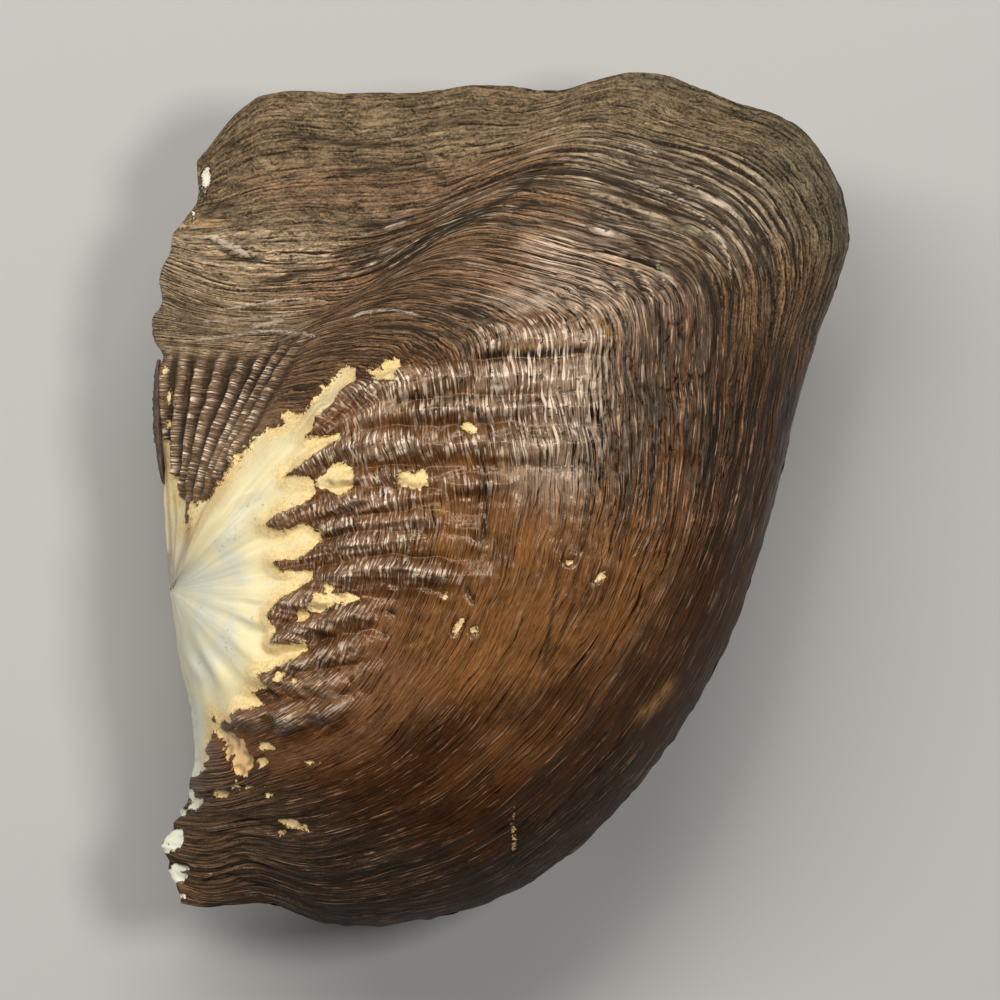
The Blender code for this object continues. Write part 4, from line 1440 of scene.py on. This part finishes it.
def floor_material(colour):
    """Smooth pale paper with a faint tone."""
    f = Finish("floor_paper")
    spot = f.node("TexCoord", {}, "Object")
    cloud = f.speckle(spot, 3.0, 3.0, 0.5)
    paper = f.blend(f.fade(cloud, 0.3, 0.7), shade(colour), shade(colour, 0.97))
    f.fill(f.shader.inputs["Base Color"], paper)
    f.fill(f.shader.inputs["Roughness"], f.fade(cloud, 0.3, 0.7, 0.85, 0.9))
    f.fill(f.shader.inputs["Normal"], f.bump(f.times(f.speckle(spot, 900.0, 2.0), 0.01)))
    return f.material


def colour_setting(name, description, default):
    """A colour that the user can change."""
    return bpy.props.FloatVectorProperty(name=name, description=description, default=default,
                                         subtype="COLOR", size=3, min=0.0, max=1.0)


def number_setting(name, description, default, low=0.0, **more):
    """A number that the user can change."""
    return bpy.props.FloatProperty(name=name, description=description, default=default, min=low, **more)


def length_setting(name, description, default):
    """A length that the user can change."""
    return number_setting(name, description, default, unit="LENGTH", precision=5)


def power_setting(name, description, default):
    """The power of a light that the user can change."""
    return number_setting(name, description, default, unit="POWER")


class ShellSizes(bpy.types.PropertyGroup):
    """Sizes of the shell's relief and seams."""

    half_gap: length_setting("Seam", "Half of the open seam between the valves", 0.04 * MM)
    lip: length_setting("Lip", "Thickness of a valve at its edge", 0.6 * MM)
    crest_height: length_setting("Ridges", "Height of the bold ridges of the disc", 1.6 * MM)
    rib_height: length_setting("Ribs", "Height of the fine ribs of the wing side", 0.8 * MM)
    ledge_height: length_setting("Growth ledges", "Height of the layered growth edges", 0.3 * MM)
    skin_thickness: length_setting("Skin", "Thickness of the horny skin over the pearl", 0.2 * MM)
    pearl_waves: length_setting("Pearl waves", "Height of the soft waves on the pearl", 0.22 * MM)
    mark_depth: length_setting("Marks", "Depth of single cracks and streaks", 0.28 * MM)
    band_half_width: length_setting("Band width", "Half width of the hinge band", BAND_HALF_WIDTH)
    band_half_height: length_setting("Band height", "Half height of the hinge band", BAND_HALF_HEIGHT)


class ShellColours(bpy.types.PropertyGroup):
    """Colours of the skin, the worn shell and the band."""

    wing: colour_setting("Wing", "Dry skin of the wing", (0.112, 0.078, 0.043))
    rust: colour_setting("Rust", "Reddish bands of the wing", (0.170, 0.098, 0.054))
    shade: colour_setting("Shade", "Dark twisted part below the wing", (0.1, 0.0552, 0.0264))
    straw: colour_setting("Straw", "Paler skin of the wing above the ribs", (0.234, 0.17, 0.103))
    ash: colour_setting("Ash", "Greyish growth lines behind the ridge", (0.157, 0.122, 0.0805))
    rib: colour_setting("Ribs", "Skin over the fine ribs", (0.115, 0.067, 0.034))
    silver: colour_setting("Silver", "Silvery parts of the pearl", (0.60, 0.60, 0.48))
    rim: colour_setting("Rim", "Tan, rough outer rim of the wing", (0.088, 0.07, 0.042))
    # Painted sheen: a greyish tint that stands in for the sheen of the upper disc
    sheen: colour_setting("Upper disc", "Greyish skin of the upper disc", (0.23, 0.165, 0.115))
    fold: colour_setting("Folds", "Skin round the bold ridges", (0.120, 0.054, 0.022))
    # Painted highlight: the greyer tops of the bold ridges; also lightened for the pale thread lines
    crest: colour_setting("Crests", "Greyish, glossy tops of the bold ridges", (0.151, 0.0912, 0.0547))
    # Painted shade: deep brown between the bold ridges
    valley_shade: colour_setting("Valleys", "Deep brown skin between the bold ridges", (0.078, 0.029, 0.007))
    amber: colour_setting("Amber", "Thin amber skin of the middle of the disc", (0.115, 0.048, 0.014))
    chestnut: colour_setting("Chestnut", "Chestnut skin of the disc", (0.032, 0.0105, 0.0025))
    red: colour_setting("Dark red", "Dark reddish skin towards the edge", (0.030, 0.009, 0.0025))
    night: colour_setting("Margin", "Nearly black skin at the front and below", (0.018, 0.008, 0.004))
    dust: colour_setting("Dust", "Tan dust on the dry skin", (0.24, 0.18, 0.10))
    # Dirt and painted shade: cracks, grooves under growth edges, between ridges and ribs, and pits
    groove: colour_setting("Grooves", "Dirt in the grooves", (0.016, 0.010, 0.006))
    # Bleached flakes, and painted highlights: glint ticks and pale highlight lines
    flake: colour_setting("Flakes", "Raised, bleached flakes of skin", (0.54, 0.445, 0.34))
    gold: colour_setting("Golden streaks", "Golden streaks of thin skin", (0.42, 0.22, 0.07))
    cream: colour_setting("Cream", "Warm parts of the pearl", (0.73, 0.65, 0.39))
    white: colour_setting("White", "Bleached chips at the hinge edge", (0.60, 0.63, 0.54))
    chalk: colour_setting("Chalk", "Chalky rim of worn patches", (0.77, 0.58, 0.27))
    stain: colour_setting("Stain", "Brown stain where skin has just come off", (0.42, 0.20, 0.07))
    blush: colour_setting("Blush", "Orange flush on bare shell", (0.80, 0.48, 0.22))
    band: colour_setting("Band", "Hinge band", (0.075, 0.050, 0.034))


class StageSettings(bpy.types.PropertyGroup):
    """Floor, light and camera."""

    floor_size: length_setting("Floor", "Side of the square floor", 6.0)
    floor_colour: colour_setting("Floor colour", "Pale floor", (0.42, 0.415, 0.405))
    lens: number_setting("Lens", "Focal length in millimetres", 400.0, 1.0)
    key_power: power_setting("Key light", "Power of the large soft light", 1.5)
    fill_power: power_setting("Fill light", "Power of the low fill light", 0.42)
    top_power: power_setting("Top light", "Power of the light that makes the sheen", 1.8)
    strip_power: power_setting("Strip light", "Power of the long light along the ridges", 3.0)
    room_light: number_setting("Room light", "Strength of the even light", 0.07)


class SHELL_OT_upper_valve(bpy.types.Operator):
    """Grow the upper valve"""

    bl_idname = "shell.upper_valve"
    bl_label = "Upper Valve"

    def execute(self, context):
        sizes, colours = context.scene.shell_sizes, context.scene.shell_colours
        add_valve("upper_valve", 1, "left_valve", sizes, colours, UPPER_SEED)
        return {"FINISHED"}


class SHELL_OT_lower_valve(bpy.types.Operator):
    """Grow the lower valve, the mirror of the upper one"""

    bl_idname = "shell.lower_valve"
    bl_label = "Lower Valve"

    def execute(self, context):
        sizes, colours = context.scene.shell_sizes, context.scene.shell_colours
        add_valve("lower_valve", -1, "right_valve", sizes, colours, LOWER_SEED)
        return {"FINISHED"}


class SHELL_OT_hinge_band(bpy.types.Operator):
    """Add the dark band of the hinge"""

    bl_idname = "shell.hinge_band"
    bl_label = "Hinge Band"

    def execute(self, context):
        add_band(context.scene.shell_sizes, context.scene.shell_colours)
        return {"FINISHED"}


def add_floor(size, colour):
    """Square floor that the shell lies on."""
    half = 0.5 * size
    corners = [(-half, -half, 0.0), (half, -half, 0.0), (half, half, 0.0), (-half, half, 0.0)]
    data = bpy.data.meshes.new("floor")
    data.from_pydata(corners, [], [(0, 1, 2, 3)])
    data.materials.append(floor_material(colour))
    link_new("floor", data)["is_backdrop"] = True


def add_light(name, place, target, size, power, colour):
    """A rectangular soft light that looks at a point."""
    data = bpy.data.lights.new(name, "AREA")
    data.shape = "RECTANGLE"
    data.size, data.size_y = size
    data.energy = power
    data.color = colour
    light = link_new(name, data)
    light.location = place
    away = np.array(place) - np.array(target)
    turn = np.arctan2(away[0], -away[1]) if away[:2].any() else 0.0
    light.rotation_euler = (np.arctan2(np.hypot(away[0], away[1]), away[2]), 0.0, turn)


def add_room(strength):
    """Even white light from all round."""
    world = bpy.data.worlds.new("room")
    world.use_nodes = True
    background = world.node_tree.nodes["Background"].inputs
    background["Color"].default_value = (1.0, 1.0, 1.0, 1.0)
    background["Strength"].default_value = strength
    bpy.context.scene.world = world


def add_camera(lens):
    """Camera straight above the middle of the sheet, which fills its picture at the seam."""
    data = bpy.data.cameras.new("camera")
    data.lens = lens
    data.sensor_width = SENSOR_WIDTH
    camera = link_new("camera", data)
    middle = np.array((0.5 * SHEET_SIZE - SHEET_BEAK[0], SHEET_BEAK[1] - 0.5 * SHEET_SIZE))
    x, y = (middle - CENTRE) * UNIT
    distance = SHEET_SIZE * UNIT * lens / data.sensor_width
    camera.location = (x, y, seam_height() + distance)
    bpy.context.scene.camera = camera


class SHELL_OT_stage(bpy.types.Operator):
    """Lay the floor, light it softly and look down on the shell"""

    bl_idname = "shell.stage"
    bl_label = "Stage"

    def execute(self, context):
        stage = context.scene.shell_stage
        add_floor(stage.floor_size, stage.floor_colour)
        for name, place, target, size, power, colour in LIGHTS:
            add_light(name, place, target, size, getattr(stage, power), colour)
        add_room(stage.room_light)
        add_camera(stage.lens)
        context.scene.view_settings.view_transform = "Standard"
        return {"FINISHED"}


class SHELL_PT_panel(bpy.types.Panel):
    """Buttons and settings of the shell"""

    bl_label = "River Mussel Shell"
    bl_space_type = "VIEW_3D"
    bl_region_type = "UI"
    bl_category = "Shell"

    def draw(self, context):
        layout = self.layout
        for operator in OPERATORS:
            layout.operator(operator.bl_idname)
        for group_name in GROUPS:
            group = getattr(context.scene, group_name)
            box = layout.box()
            for setting in group.bl_rna.properties:
                if setting.identifier not in {"rna_type", "name"}:
                    box.prop(group, setting.identifier)


OPERATORS = (SHELL_OT_upper_valve, SHELL_OT_lower_valve, SHELL_OT_hinge_band, SHELL_OT_stage)
GROUPS = {"shell_sizes": ShellSizes, "shell_colours": ShellColours, "shell_stage": StageSettings}


def register():
    """Adds the settings, the buttons and the panel."""
    for part in (*GROUPS.values(), *OPERATORS, SHELL_PT_panel):
        bpy.utils.register_class(part)
    for name, group in GROUPS.items():
        setattr(bpy.types.Scene, name, bpy.props.PointerProperty(type=group))


def unregister():
    """Takes them away again."""
    for name in GROUPS:
        delattr(bpy.types.Scene, name)
    for part in (SHELL_PT_panel, *reversed(OPERATORS), *reversed(GROUPS.values())):
        bpy.utils.unregister_class(part)


def main():
    """Builds the whole scene and measures its size beside the solids' size."""
    register()
    bpy.ops.shell.upper_valve()
    bpy.ops.shell.lower_valve()
    bpy.ops.shell.hinge_band()
    bpy.ops.shell.stage()
    boxes = {"cad": CAD_BOX, "visual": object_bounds()}
    {name: [list(corner) for corner in box] for name, box in boxes.items()}


if __name__ == "__main__":
    main()
